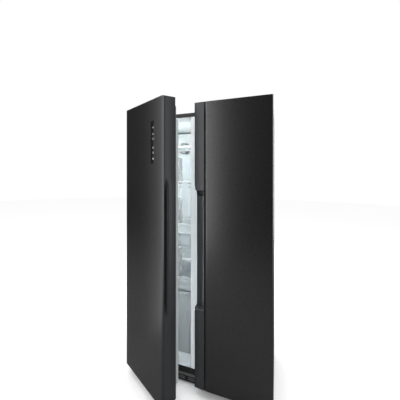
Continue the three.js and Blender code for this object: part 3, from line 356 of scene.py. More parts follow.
def cabinet_shell():
    """The wrapper: front flange, rounded front edges and the three outer walls."""
    bm = bmesh.new()
    r = 3 * MM
    side, top, bottom = FLANGE["side"], FLANGE["top"], FLANGE["bottom"]

    def frame_ring(d_side, d_top, d_bottom, corner, y):
        flat = rounded(LEFT + d_side, RIGHT - d_side, BOTTOM + d_bottom, TOP - d_top, corner)
        return [(x, y, z) for x, z in flat]

    rings = [frame_ring(side, top, bottom, 4 * MM, FRONT + 1.2 * MM),
             frame_ring(side, top, bottom, 4 * MM, FRONT)]
    for k in range(5):
        a = math.radians(90 * k / 4)
        inset = r * (1 - math.sin(a))
        rings.append(frame_ring(inset, inset, inset * 0.1, 5 * MM, FRONT + r * (1 - math.cos(a))))
    loft(bm, rings, ends=False)
    outline = rings[-1]
    above_floor = min(z for _, _, z in outline) + 6 * MM
    over = [p for p in outline if p[2] > above_floor]
    start = next(i for i, p in enumerate(over) if p[0] > 0)
    y = outline[0][1]
    path = [(RIGHT, y, BOTTOM)] + over[start:] + over[:start] + [(LEFT, y, BOTTOM)]
    loft(bm, [path, [(x, BACK, z) for x, _, z in path]], closed=False, ends=False)
    bmesh.ops.remove_doubles(bm, verts=bm.verts, dist=0.02 * MM)
    bmesh.ops.recalc_face_normals(bm, faces=bm.faces)
    if sum(f.normal.x * (f.calc_center_median().x) for f in bm.faces) < 0:
        bmesh.ops.reverse_faces(bm, faces=bm.faces)
    make("cabinet_shell", bm, "cabinet", "paint", instead=["outer_shell"],
         sheet=1.1 * MM)


def side_profile(lo, hi, inset):
    """Corners of a compartment seen from the side, open at the front, made smaller by inset."""
    floor, mouth = lo.z + LINER + inset, hi.z - LINER - inset
    back, ceiling = hi.y - LINER - inset, CEILING - inset
    step_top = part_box("foam_back_floor_divider")[0].z + STEP_RISE + FIT + LINER + inset
    step_front = BACK - STEP_DEPTH - FIT - LINER - inset
    return [(FRONT + FIT, floor), (step_front, floor), (step_front, step_top), (back, step_top),
            (back, ceiling), (FRONT + LEAD_IN, ceiling), (FRONT + FIT, mouth)]


def filleted(points, r, steps=4):
    """An open line with its inner corners rounded."""
    out = [points[0]]
    for a, b, c in zip(points, points[1:], points[2:]):
        a, b, c = Vector(a), Vector(b), Vector(c)
        into, off = (b - a).normalized(), (c - b).normalized()
        start, end = b - r * into, b + r * off
        for k in range(steps + 1):
            t = k / steps
            out.append(tuple((1 - t) ** 2 * start + 2 * t * (1 - t) * b + t * t * end))
    out.append(points[-1])
    return out


def compartment(room):
    """A vacuum-formed liner with soft inner corners, shelf ribs and drawer runners."""
    lo, hi = ROOMS[room]
    x0, x1 = lo.x + LINER, hi.x - LINER
    r = 12 * MM
    turns = [math.radians(90 * k / 5) for k in range(6)]
    half = [(r * (1 - math.sin(a)), r * (1 - math.cos(a))) for a in turns]
    stations = [(x0 + d, inset) for inset, d in half] + [(x1 - d, inset) for inset, d in half[::-1]]
    bm = bmesh.new()
    rings = []
    for x, inset in stations:
        line = filleted(side_profile(lo, hi, inset), 14 * MM - inset * 0.5)
        rings.append([(x, y, z) for y, z in line])
    loft(bm, rings, closed=False, ends=True)
    bmesh.ops.recalc_face_normals(bm, faces=bm.faces)
    centre = Vector(((x0 + x1) / 2, (FRONT + BACK) / 2, (BOTTOM + TOP) / 2))
    if sum((centre - f.calc_center_median()).dot(f.normal) * f.calc_area() for f in bm.faces) < 0:
        bmesh.ops.reverse_faces(bm, faces=bm.faces)
    make(room + "_inner_liner", bm, "cabinet", "white",
         instead=[room + "_liner"], sheet=LINER * 0.8)

    bm = bmesh.new()
    shelf_names = sorted(n for n in frame["nodes"] if n.startswith(room + "_shelf"))
    rib, runner = 7 * MM, 17 * MM
    for name in shelf_names:
        near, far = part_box(name)
        z = near.z + GLASS_RISE
        for left, right in ((x0, x0 + rib), (x1 - rib, x1)):
            block(bm, (left, near.y + 14 * MM, z - 9 * MM), (right, far.y, z - 0.4 * MM), 2.5 * MM)
    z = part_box(room + "_drawer_upper")[0].z
    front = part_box(shelf_names[0])[0].y
    for left, right in ((x0, x0 + runner), (x1 - runner, x1)):
        block(bm, (left, front + 12 * MM, z - 9 * MM), (right, front + 330 * MM, z - 1 * MM), 2 * MM)
    make(room + "_shelf_ribs", bm, "cabinet", "white")


def shelf(node):
    """Tempered glass in a white moulding at the front and a slim one at the back."""
    lo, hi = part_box(node)
    z = lo.z + GLASS_RISE
    rail = 7 * MM
    bm = bmesh.new()
    block(bm, (lo.x + 1 * MM, lo.y + 5 * MM, z), (hi.x - 1 * MM, hi.y - 3 * MM, z + 4 * MM),
          0.8 * MM)
    make(node + "_glass", bm, "cabinet", "glass", instead=[node])
    bm = bmesh.new()
    block(bm, lo, (hi.x, lo.y + 11 * MM, hi.z - 1 * MM), 3 * MM, 4)
    block(bm, (lo.x, hi.y - 9 * MM, z - 3 * MM), (hi.x, hi.y, z + 9 * MM), 2 * MM)
    for x in (lo.x, hi.x - rail):
        block(bm, (x, lo.y + 4 * MM, z - 0.2 * MM), (x + rail, hi.y - 2 * MM, z + 6 * MM),
              1.5 * MM)
    make(node + "_trim", bm, "cabinet", "white")


def lamp(room):
    """A lens in a white frame on the ceiling, and a light strip up the outer side wall.

    Both stay lit whether the door is open or shut.
    """
    lo, hi = ROOMS[room]
    mid = (lo.x + hi.x) / 2
    y = FRONT + 80 * MM
    for name, mat, slot, w, d, h in (("lamp_lens", room + "_lamp", "clear_plastic", 56, 16, 7),
                                     ("lamp_frame", "white", "white_plastic", 66, 24, 4)):
        bm = bmesh.new()
        block(bm, (mid - w * MM, y - d * MM, CEILING - h * MM),
              (mid + w * MM, y + d * MM, CEILING + 1 * MM), 3 * MM, 4)
        make(room + "_" + name, bm, "cabinet", mat)
    wall, inwards = (lo.x + LINER, 1) if room == "freezer" else (hi.x - LINER, -1)
    face = wall + inwards * 2.5 * MM
    bm = bmesh.new()
    block(bm, (min(wall, face), y - 8 * MM, BOTTOM + 300 * MM),
          (max(wall, face), y + 8 * MM, CEILING - 60 * MM), 1.1 * MM)
    make(room + "_light_strip", bm, "cabinet", room + "_strip")


def hinge_cover(side):
    """A soft-edged cap over the upper hinge."""
    lo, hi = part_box("hinge_cover_" + side)
    bm = bmesh.new()
    back_share = (14 * MM) / (32 * MM)  # height of the cap at its back, as a share of the whole
    made = bmesh.ops.create_cube(bm, size=1)["verts"]
    for v in made:
        back = v.co.y > 0
        up = v.co.z > 0
        v.co = Vector((lo.x if v.co.x < 0 else hi.x, hi.y if back else lo.y,
                       (mixed(lo.z, hi.z, back_share) if back else hi.z) if up else lo.z))
    cut = bmesh.ops.bisect_plane(bm, geom=bm.verts[:] + bm.edges[:] + bm.faces[:],
                                 plane_co=(0, lo.y + 40 * MM, 0), plane_no=(0, 1, 0))
    for v in (g for g in cut["geom_cut"] if isinstance(g, bmesh.types.BMVert)):
        if v.co.z > lo.z + 1 * MM:
            v.co.z = hi.z - 2 * MM
    edges = [e for e in bm.edges if e.calc_length() > 1 * MM
             and max(v.co.z for v in e.verts) > lo.z + 0.1 * MM]
    bmesh.ops.bevel(bm, geom=edges, offset=4 * MM, segments=5, profile=0.5, affect="EDGES",
                    clamp_overlap=True)
    make("hinge_cap_" + side, bm, "cabinet", "black",
         instead=["hinge_cover_" + side])


def rear_details():
    """Beads and screws on the rear panel and the machine cover."""
    lo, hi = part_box("rear_panel")
    bm = bmesh.new()
    proud = 0.8 * MM
    for k in (-2, -1, 0, 1, 2):
        x = (lo.x + hi.x) / 2 + k * 160 * MM
        block(bm, (x - 7 * MM, hi.y - 0.5 * MM, lo.z + 90 * MM),
              (x + 7 * MM, hi.y + proud, hi.z - 90 * MM), 0.7 * MM)
    make("rear_panel_beads", bm, "cabinet", "zinc")
    bm = bmesh.new()
    edge = 14 * MM
    spots = [(x, z) for x in (lo.x + edge, hi.x - edge)
             for z in [mixed(lo.z + 30 * MM, hi.z - 20 * MM, k / 6) for k in range(7)]]
    spots += [(mixed(lo.x, hi.x, k / 6), z) for k in range(1, 6)
              for z in (hi.z - edge, lo.z + edge)]
    clo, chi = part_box("machine_cover")
    spots += [(mixed(clo.x + 20 * MM, chi.x - 20 * MM, k / 4), z) for k in range(5)
              for z in (clo.z + edge, chi.z - edge)]
    for x, z in spots:
        lathe(bm, [(4.2 * MM, -0.3 * MM), (4.2 * MM, 0.3 * MM), (3 * MM, proud), (0.4 * MM, proud)],
              Vector((x, hi.y, z)), "Y", 16)
    make("rear_screws", bm, "cabinet", "zinc")


def rear_corners():
    """Folded ends of the wrapper, which close the walls beside the machine cover."""
    foam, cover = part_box("foam_sides_and_roof"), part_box("machine_cover")
    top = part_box("rear_panel")[0].z - 1 * MM
    bm = bmesh.new()
    for x0, x1 in ((LEFT + 1.5 * MM, cover[0].x - 1 * MM),
                   (cover[1].x + 1 * MM, RIGHT - 1.5 * MM)):
        block(bm, (x0, foam[1].y + 0.2 * MM, foam[0].z), (x1, foam[1].y + 1.2 * MM, top), 0.4 * MM)
    make("rear_corner_flanges", bm, "cabinet", "paint")


def compressor():
    """A pressed dome on a foot plate with rubber mounts, and its discharge pipe."""
    lo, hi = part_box("compressor")
    centre = Vector(((lo.x + hi.x) / 2, (lo.y + hi.y) / 2, lo.z))
    bm = bmesh.new()
    profile = [(2, 14), (50, 14), (64, 18), (72, 28), (76, 50), (76.5, 96), (82, 98), (82, 106),
               (77, 108), (75, 130), (68, 150), (54, 166), (34, 175), (14, 178.5), (2, 179)]
    lathe(bm, [(r * MM, h * MM) for r, h in profile], centre, "Z", 56)
    make("compressor_dome", bm, "cabinet", "enamel",
         instead=["compressor"])
    bm = bmesh.new()
    block(bm, (lo.x, lo.y, lo.z + 12 * MM), (hi.x, hi.y, lo.z + 16 * MM), 1.2 * MM)
    block(bm, centre + Vector((74, -30, 44)) * MM, centre + Vector((100, 30, 104)) * MM, 5 * MM)
    for a in (-1, 1):
        for b in (-1, 1):
            lathe(bm, [(11 * MM, 0.5 * MM), (12 * MM, 4 * MM), (8 * MM, 8 * MM), (12 * MM, 12 * MM),
                       (11 * MM, 20 * MM), (4 * MM, 20 * MM), (4 * MM, 26 * MM), (1 * MM, 26 * MM)],
                  centre + Vector((a * 78, b * 62, 0)) * MM, "Z", 24)
    path = [centre + Vector(p) * MM for p in ((48, 30, 150), (50, 30, 180), (54, 30, 192),
                                              (64, 30, 196), (86, 30, 196))]
    pipe(bm, path, 4.5 * MM)
    make("compressor_base", bm, "cabinet", "enamel")


def condenser():
    """A serpentine tube through thin fins on a tray, and the shroud of its fan."""
    lo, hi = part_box("condenser")
    y = (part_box("condenser_fan")[0].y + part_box("condenser_fan")[1].y) / 2
    z0, pitch, rows = lo.z + 38 * MM, 26 * MM, 6
    x0, x1 = lo.x + 65 * MM, hi.x - 20 * MM
    path = []
    for row in range(rows):
        z = z0 + row * pitch
        a, b = (x1, x0) if row % 2 else (x0, x1)
        path += [Vector((mixed(a, b, k / 10), y, z)) for k in range(11)]
        if row < rows - 1:
            way = -1 if row % 2 else 1
            for k in range(1, 12):
                t = math.pi * k / 12
                path.append(Vector((b + way * math.sin(t) * pitch / 2, y,
                                    z + (1 - math.cos(t)) * pitch / 2)))
    bm = bmesh.new()
    pipe(bm, path, 5 * MM, 14)
    make("condenser_tube", bm, "cabinet", "copper", instead=["condenser"])
    bm = bmesh.new()
    for k in range(26):
        x = mixed(x0 + 4 * MM, x1 - 4 * MM, k / 25)
        block(bm, (x - 0.5 * MM, y - 26 * MM, z0 - 11 * MM),
              (x + 0.5 * MM, y + 26 * MM, z0 + 142 * MM), 0.2 * MM, 1)
    block(bm, (lo.x + 6 * MM, y - 20 * MM, lo.z), (x1, y + 20 * MM, lo.z + 3.7 * MM), 1 * MM)
    for x in (x0 + 20 * MM, x1 - 22 * MM):
        block(bm, (x, y - 32 * MM, lo.z), (x + 3 * MM, y + 32 * MM, z0 + 152 * MM), 1 * MM)
    make("condenser_fins", bm, "cabinet", "fins")
    bm = bmesh.new()
    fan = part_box("condenser_fan")
    middle = Vector((lo.x + 5.5 * MM, y, (fan[0].z + fan[1].z) / 2))
    square = rounded(y - 90 * MM, y + 90 * MM, lo.z, lo.z + 204 * MM, 12 * MM, 11)
    offset = square.index(max(square, key=lambda p: (p[0] - y) + (p[1] - middle.z)))
    square = square[offset:] + square[:offset]
    mouth = 73 * MM
    circle = []
    for a, b in square:
        angle = math.atan2(b - middle.z, a - y)
        circle.append((y + mouth * math.cos(angle), middle.z + mouth * math.sin(angle)))
    inner = [(y + (a - y) * 0.96, middle.z + (b - middle.z) * 0.96) for a, b in circle]
    rear, plate, lip = lo.x + 9 * MM, lo.x + 5 * MM, lo.x - 2 * MM
    rings = [[(x, a, b) for a, b in outline] for x, outline in
             ((rear, circle), (rear, square), (plate, square), (plate, circle), (lip, circle),
              (lip, inner), (rear, inner))]
    loft(bm, rings + [rings[0]], ends=False)
    bmesh.ops.remove_doubles(bm, verts=bm.verts, dist=0.01 * MM)
    motor = [(2, -9), (17, -9), (20, -6), (20, 5), (2, 5)]
    lathe(bm, [(r * MM, h * MM) for r, h in motor], middle + Vector((0.5 * MM, 0, 0)), "X", 32)
    for k in range(4):
        a = math.radians(45 + 90 * k)
        tip = middle + Vector((0, 74 * MM * math.cos(a), 74 * MM * math.sin(a)))
        bar = [middle + Vector((2 * MM, 0, 0)), tip + Vector((2 * MM, 0, 0))]
        across = Vector((0, -math.sin(a), math.cos(a))) * 3.5 * MM
        deep = Vector((1.5 * MM, 0, 0))
        loft(bm, [[p - across - deep, p + across - deep, p + across + deep, p - across + deep]
                  for p in bar])
    make("condenser_shroud", bm, "cabinet", "black")


def fan(node, body, radius, width, axis):
    """A hub and swept, twisted blades, centred on the fan's joint."""
    joint = next(j for j in frame["joints"] if j["child"] == body)
    bm = bmesh.new()
    hub = radius * 0.26
    half = width / 2
    lathe(bm, [(0.6 * MM, -half), (hub * 0.8, -half), (hub, -half * 0.7), (hub, half * 0.8),
               (hub * 0.85, half), (0.6 * MM, half)], Vector(), "Z", 32)
    for i in range(5):
        base = 2 * math.pi * i / 5
        rings = []
        for k in range(9):
            t = k / 8
            r = mixed(hub * 0.95, radius * 0.97, t)
            chord = radius * mixed(0.5, 0.78, t) * (1 - 0.25 * t ** 6)
            pitch = math.radians(mixed(42, 24, t))
            lean = base + 0.35 * t
            upper, lower = [], []
            for m in range(7):
                s = m / 6 - 0.5
                along = s * chord
                arc = along * math.cos(pitch) / r
                h = along * math.sin(pitch) + (0.25 - s * s) * 0.12 * chord
                thick = 0.9 * MM * (1 - (2 * s) ** 4 * 0.7)
                for points, sign in ((upper, 1), (lower, -1)):
                    points.append(Vector((r * math.cos(lean + arc), r * math.sin(lean + arc),
                                          max(-half, min(half, h)) + sign * thick)))
            rings.append(upper + lower[::-1])
        loft(bm, rings)
    turn = Matrix.Rotation(math.pi / 2, 4, "Y" if axis == "X" else "X")
    bm.transform(Matrix.Translation(Vector(joint["pos_m"])) @ turn)
    mat, slot = ("black", "black_plastic") if axis == "X" else ("white", "white_plastic")
    make(node + "_wheel", bm, body, mat, instead=[node])


# ---- doors --------------------------------------------------------------------------------
SOFT = (18 * MM, 6 * MM)  # width and depth of the skin's curved free edge
BEND = 12 * MM
SKIN = 1.2 * MM
NOTCH_Y = 14 * MM  # the side return's top is cut away from this far behind the front
NOTCH_HEIGHT = 39 * MM
RIM_RISE = 58 * MM  # of the inner panel's rim, behind the door's rear face


def door_skin(door):
    """Folded steel: hinge-side return, flat front and a curved free edge, as one sheet."""
    lo, hi = door.box("skin")
    width = hi.x - lo.x
    y0, y1 = lo.y, hi.y
    levels = [lo.z, hi.z - NOTCH_HEIGHT, hi.z]
    pocket = door.box("control_panel") if door.out < 0 else None
    stops = [BEND]
    if pocket:
        us = [door.from_side(pocket[0].x) - FIT, door.from_side(pocket[1].x) + FIT]
        stops += us
        levels[1:1] = [pocket[0].z - FIT, pocket[1].z + FIT]
    path = [(0, y1), (0, y0 + NOTCH_Y), (0, y0 + BEND)]
    for k in range(1, 9):
        a = math.radians(90 * k / 8)
        path.append((BEND * (1 - math.cos(a)), y0 + BEND * (1 - math.sin(a))))
    path += [(u, y0) for u in stops[1:]]
    for k in range(10):
        path.append((width - SOFT[0] * (1 - k / 9), y0 + SOFT[1] * (k / 9) ** 2))
    path.append((width, y0 + SOFT[1] + 2 * MM))
    bm = bmesh.new()
    rows = [[bm.verts.new((door.x(u), y, z)) for u, y in path] for z in levels]
    for i, (low, high) in enumerate(zip(rows, rows[1:])):
        for j in range(len(path) - 1):
            in_notch = i == len(rows) - 2 and path[j + 1][1] >= y0 + NOTCH_Y
            in_pocket = pocket and i == 1 and path[j][0] == us[0]
            if not (in_notch or in_pocket):
                bm.faces.new((low[j], low[j + 1], high[j + 1], high[j]))
    bmesh.ops.recalc_face_normals(bm, faces=bm.faces)
    bm.faces.ensure_lookup_table()
    flat = max(bm.faces, key=lambda f: f.calc_area() * abs(f.normal.y))
    if flat.normal.y > 0:
        bmesh.ops.reverse_faces(bm, faces=bm.faces)
    loose = [v for v in bm.verts if not v.link_faces]
    bmesh.ops.delete(bm, geom=loose, context="VERTS")
    make(door.name + "_front", bm, door.name, "steel",
         instead=[door.name + "_skin"], door=door, sheet=SKIN)


def raised_rings(door, inset):
    """Rings of a door's inner panel: margin, rim and the lower middle behind the racks."""
    rack = door.box("rack_1")
    beside = 25 * MM - inset
    x0, x1 = rack[0].x - beside, rack[1].x + beside
    z0, z1 = BOTTOM + 52 * MM + inset, CEILING - 8 * MM - inset
    rear, high, low = door.rear, door.rear + RIM_RISE - inset, door.rear + 25 * MM - inset
    rim, soft = 22 * MM - 2 * inset, 5 * MM
    steps = [(-soft, rear), (-soft * 0.3, rear + soft * 0.3), (0, rear + soft), (0, high - soft),
             (soft * 0.3, high - soft * 0.3), (soft, high), (rim - soft, high),
             (rim - soft * 0.3, high - soft * 0.3), (rim, high - soft), (rim, low + soft),
             (rim + soft * 0.3, low + soft * 0.3), (rim + soft, low)]
    corner = 20 * MM
    rings = []
    for d, y in steps:
        radius = max(corner - d * 0.5, 6 * MM)
        flat = rounded(x0 + d, x1 - d, z0 + d, z1 - d, radius)
        rings.append([(x, y, z) for x, z in flat])
    return rings


def inner_panel(door):
    """The door's white liner, and the foam that fills it."""
    lo, hi = door.box("liner")
    corner = 3 * MM
    bm = bmesh.new()
    margin = [[(x, y, z) for x, z in rounded(lo.x, hi.x, lo.z, hi.z, corner)]
              for y in (door.rear - LINER, door.rear)]
    raised = raised_rings(door, 0)
    loft(bm, margin + raised, ends=False)
    bm.faces.new([bm.verts.new(p) for p in raised[-1]])
    bmesh.ops.remove_doubles(bm, verts=bm.verts, dist=0.01 * MM)
    bmesh.ops.recalc_face_normals(bm, faces=bm.faces)
    flat = max(bm.faces, key=lambda f: f.calc_area())
    if flat.normal.y < 0:
        bmesh.ops.reverse_faces(bm, faces=bm.faces)
    make(door.name + "_inner_liner", bm, door.name, "white",
         instead=[door.name + "_liner"], door=door, sheet=1.6 * MM)

    lo, hi = door.box("core")
    behind_liner = door.rear - 2.4 * MM
    bm = bmesh.new()
    slab = [[(x, y, z) for x, z in rounded(lo.x, hi.x, lo.z, hi.z, corner)]
            for y in (lo.y + 6 * MM, behind_liner)]
    raised = raised_rings(door, 2.6 * MM)[2:]
    foot = [(x, behind_liner, z) for x, _, z in raised[0]]
    loft(bm, slab + [foot] + raised)
    make(door.name + "_foam", bm, door.name, "foam", instead=[door.name + "_core"],
         door=door)


def gasket(door):
    """A bellows seal with a magnet strip, all round the door."""
    lo, hi = door.box("gasket")
    t, w = hi.y - lo.y, 16 * MM
    section = [(0.42, 0), (0.3, 0.2), (0.04, 0.38), (0.2, 0.5), (0, 0.62), (0, 0.9), (0.06, 1),
               (0.7, 1), (0.78, 0.9), (0.78, 0.66), (0.98, 0.5), (0.8, 0.36), (0.62, 0.2), (0.6, 0)]
    bm = bmesh.new()
    rings = []
    for across, along in section:
        d = w * across
        flat = rounded(lo.x + d, hi.x - d, lo.z + d, hi.z - d, 5 * MM)
        rings.append([(x, lo.y + t * along, z) for x, z in flat])
    loft(bm, rings + [rings[0]], ends=False)
    bmesh.ops.remove_doubles(bm, verts=bm.verts, dist=0.01 * MM)
    make(door.name + "_seal", bm, door.name, "seal",
         instead=[door.name + "_gasket"], door=door)


def rack(door, index):
    """A clear bin with round corners and a rolled rim."""
    node = door.name + "_rack_" + str(index)
    lo, hi = door.box("rack_" + str(index))
    r = 26 * MM
    steps = [(4, 0), (0.8, 1.2), (0, 4), (0, 136), (0, 141), (0.6, 142.6), (2.2, 143),
             (4.2, 142.2), (4.6, 140), (2.6, 136), (2.6, 6), (3.6, 3.4), (6, 2.5)]
    bm = bmesh.new()
    rings = []
    for d, z in steps:
        flat = rounded(lo.x + d * MM, hi.x - d * MM, lo.y + d * MM, hi.y - d * MM, r - d * MM, 7)
        rings.append([(x, y, lo.z + z * MM) for x, y in flat])
    loft(bm, rings)
    make(node + "_bin", bm, door.name, "clear", instead=[node], door=door)


# The finger groove: heights of its ends, length of its points, depth, and mouth behind the front, mm
GROOVE = {"low": 540, "high": 1338, "point": 70, "depth": 22, "mouth": (12, 44)}


def freezer_grip(door):
    """Edge profile with a long finger groove that comes to a point at both ends."""
    lo, hi = door.box("grip")
    edge, x0 = hi.x, lo.x
    mid = door.front + (GROOVE["mouth"][0] + GROOVE["mouth"][1]) / 2 * MM
    half = (GROOVE["mouth"][1] - GROOVE["mouth"][0]) / 2 * MM
    low, high, point = (GROOVE[k] * MM for k in ("low", "high", "point"))
    zs = [lo.z, low - 4 * MM]
    zs += [low + point * 1.6 * (k / 26) ** 1.4 for k in range(27)]
    zs += [mixed(low + point * 1.6, high - point * 1.6, k / 6) for k in range(1, 6)]
    zs += [high - point * 1.6 * (k / 26) ** 1.4 for k in range(26, -1, -1)]
    zs += [high + 4 * MM, hi.z]
    rings = []
    for z in zs:
        into = min(z - low, high - z) / point
        open_ = math.sqrt(max(0.0, 1 - (1 - min(1.0, max(0.0, into))) ** 2))
        deep = GROOVE["depth"] * MM * smooth(min(1.0, max(0.0, into) / 1.3))
        side = []
        for k in range(21):
            s = k / 20
            y = mid + (2 * s - 1) * half * open_
            wall = smooth(s / 0.15) * smooth((1 - s) / 0.8)
            side.append((edge - deep * wall, y))
        rings.append([(x, y, z) for x, y in
                      [(x0, lo.y), (edge - 1.2 * MM, lo.y), (edge - 0.3 * MM, lo.y + 0.3 * MM),
                       (edge, lo.y + 1.2 * MM)] + side +
                      [(edge, hi.y - 2 * MM), (edge - 0.6 * MM, hi.y - 0.6 * MM),
                       (edge - 2 * MM, hi.y), (x0, hi.y)]])
    bm = bmesh.new()
    loft(bm, rings)
    make("freezer_door_edge", bm, door.name, "trim",
         instead=["freezer_door_grip"], door=door)


# The hand recess: heights of its ends, its ceiling and where its edge has settled, then how deep
# its floor lies and how far the edge is cut back, mm
RECESS = {"low": 519, "high": 1295, "ceiling": 1252, "settled": 1196, "floor": 40, "cut": 15}


def fridge_grip(door):
    """Full-height strip; between its ends a hollow for the hand opens to the free side."""
    lo, hi = door.box("grip")
    joint, front, rear = hi.x, lo.y, hi.y
    edge = lo.x + 11 * MM
    z_low, z_high = RECESS["low"] * MM, RECESS["high"] * MM
    z_ceiling, z_settled = RECESS["ceiling"] * MM, RECESS["settled"] * MM

    def strip(z):
        """The section at height z: s cuts the edge back, and h opens the hollow."""
        s = smooth((z_high - z) / (z_high - z_settled)) * smooth((z - z_low) / (30 * MM))
        h = smooth((z_ceiling + 3 * MM - z) / (9 * MM)) * smooth((z - z_low - 10 * MM) / (12 * MM))
        lip = edge + mixed(2, RECESS["cut"], s) * MM
        deeper = smooth((z - z_ceiling + 36 * MM) / (14 * MM))
        deeper *= smooth((z_ceiling + 2 * MM - z) / (5 * MM))
        floor = front + (RECESS["floor"] + 20 * deeper) * MM
        points = []
        for k in range(25):
            t = k / 24
            full = (mixed(joint, lip, t), front + 5 * MM * t + (0.6 * MM if k == 24 else 0))
            if k < 3:
                deep = (joint - k * MM, front)
            elif k < 18:
                a = math.radians(90 * (k - 3) / 14)
                deep = (joint - 2 * MM - (joint - 2 * MM - edge - 30 * MM) * (1 - math.cos(a)),
                        mixed(front + 3 * MM, floor, math.sin(a)))
            else:
                b = (k - 17) / 7
                deep = (mixed(edge + 30 * MM, lip, b), floor + 4 * MM * b * b)
            points.append((mixed(full[0], deep[0], h), mixed(full[1], deep[1], h)))
        tail = mixed(lo.x, edge + 6 * MM, s)
        first = points[-1]
        knee = max(first[1] + 2 * MM, rear - 42 * MM)
        side = [(mixed(edge, edge + RECESS["cut"] * 0.98 * MM, s), first[1] + 1.6 * MM),
                (mixed(edge, edge + RECESS["cut"] * 0.9 * MM, s), knee),
                (mixed(mixed(edge, tail, 0.5), tail, 0.2), mixed(knee, rear - 36 * MM, 0.6)),
                (tail, max(knee + 1 * MM, rear - 36 * MM)), (tail, rear - 2 * MM),
                (tail + 0.6 * MM, rear - 0.6 * MM), (tail + 2 * MM, rear)]
        return [(x, y, z) for x, y in points + side + [(joint, rear)]]

    zs = [lo.z, z_low - 3 * MM]
    zs += [mixed(z_low, z_low + 34 * MM, k / 16) for k in range(17)]
    zs += [mixed(z_low + 40 * MM, z_settled - 10 * MM, k / 5) for k in range(6)]
    zs += [mixed(z_settled, z_ceiling - 8 * MM, k / 8) for k in range(9)]
    zs += [mixed(z_ceiling - 6 * MM, z_ceiling + 3 * MM, k / 10) for k in range(11)]
    zs += [mixed(z_ceiling + 6 * MM, z_high, k / 8) for k in range(9)]
    zs += [z_high + 3 * MM, hi.z]
    bm = bmesh.new()
    loft(bm, [strip(z) for z in zs])
    make("fridge_door_strip", bm, door.name, "trim",
         instead=["fridge_door_grip"], door=door)


MARK = 0.08 * MM  # thickness of a printed mark


def ring_mark(bm, x, y, z, r, thick, start=0, end=360):
    """A ring, or the part of one between two angles, for a pictogram."""
    steps = 18
    rings = []
    for k in range(steps + 1):
        a = math.radians(mixed(start, end, k / steps))
        c, s = math.cos(a), math.sin(a)
        rings.append([(x + (r + d) * c, y + dy, z + (r + d) * s)
                      for d, dy in ((-thick, 0), (thick, 0), (thick, MARK), (-thick, MARK))])
    loft(bm, rings)


def bar_mark(bm, x, y, z, length, angle, thick):
    """A straight bar at an angle to the level, for a pictogram."""
    a = math.radians(angle)
    along, across = Vector((math.cos(a), 0, math.sin(a))), Vector((-math.sin(a), 0, math.cos(a)))
    deep = Vector((0, MARK, 0))
    rings = []
    for t in (-0.5, 0.5):
        p = Vector((x, y, z)) + along * length * t
        rings.append([p - across * thick, p + across * thick, p + across * thick + deep,
                      p - across * thick + deep])
    loft(bm, rings)


def control_panel(door):
    """Black glass strip with small generic marks."""
    lo, hi = door.box("control_panel")
    bm = bmesh.new()
    block(bm, lo, hi, 1 * MM, 3)
    make("panel_glass_strip", bm, door.name, "gloss",
         instead=["control_panel"], door=door)
    x, y = (lo.x + hi.x) / 2, lo.y - 0.05 * MM
    bm = bmesh.new()
    top = hi.z
    for down, kind in ((40, "flake"), (78, "bars"), (106, "ring"), (157, "sun"), (185, "drop"),
                       (219, "lock")):
        z = top - down * MM
        if kind == "flake":
            for angle in (0, 60, 120):
                bar_mark(bm, x, y, z, 15 * MM, angle, 0.8 * MM)
        elif kind == "bars":
            for k in (-1, 0, 1):
                bar_mark(bm, x, y, z + k * 3.6 * MM, 13 * MM, 0, 0.7 * MM)
        elif kind == "ring":
            ring_mark(bm, x, y, z, 5.5 * MM, 0.8 * MM)
        elif kind == "sun":
            ring_mark(bm, x, y, z, 3.5 * MM, 0.8 * MM)
            for angle in (0, 45, 90, 135):
                for way in (-1, 1):
                    a = math.radians(angle)
                    bar_mark(bm, x + way * 7 * MM * math.cos(a), y, z + way * 7 * MM * math.sin(a),
                             2.6 * MM, angle, 0.6 * MM)
        elif kind == "drop":
            ring_mark(bm, x, y, z - 1.5 * MM, 4.5 * MM, 0.8 * MM, 130, 410)
            bar_mark(bm, x - 1.6 * MM, y, z + 4.4 * MM, 6 * MM, 62, 0.7 * MM)
            bar_mark(bm, x + 1.6 * MM, y, z + 4.4 * MM, 6 * MM, 118, 0.7 * MM)
        else:
            bar_mark(bm, x, y, z - 2.5 * MM, 11 * MM, 0, 3.2 * MM)
            ring_mark(bm, x, y, z + 0.7 * MM, 3.8 * MM, 0.7 * MM, 0, 180)
    make("panel_marks", bm, door.name, "mark", door=door)


# ---- the object ---------------------------------------------------------------------------
cabinet_shell()
for room in ROOMS:
    compartment(room)
    lamp(room)
for node in sorted(frame["nodes"]):
    if "_shelf_" in node:
        shelf(node)
for side in ("left", "right"):
    hinge_cover(side)
    dress("upper_hinge_" + side, "zinc", 0.5 * MM)
    dress("lower_hinge_" + side, "zinc", 0.5 * MM)
    dress("levelling_foot_" + side, "rubber", 0.8 * MM)
    dress("rear_roller_" + side, "rubber", 0.8 * MM)
for name, door in DOORS.items():
    door_skin(door)
    inner_panel(door)
    gasket(door)
    for index in (1, 2, 3):
        rack(door, index)
    dress(door.name + "_top_cap", "black", 1.0 * MM)
    dress(door.name + "_bottom_cap", "black", 1.0 * MM)
    dress(name + "_drawer_upper", "frost", 1.2 * MM)
    dress(name + "_drawer_lower", "frost", 1.2 * MM)
freezer_grip(DOORS["freezer"])
control_panel(DOORS["freezer"])
fridge_grip(DOORS["fridge"])
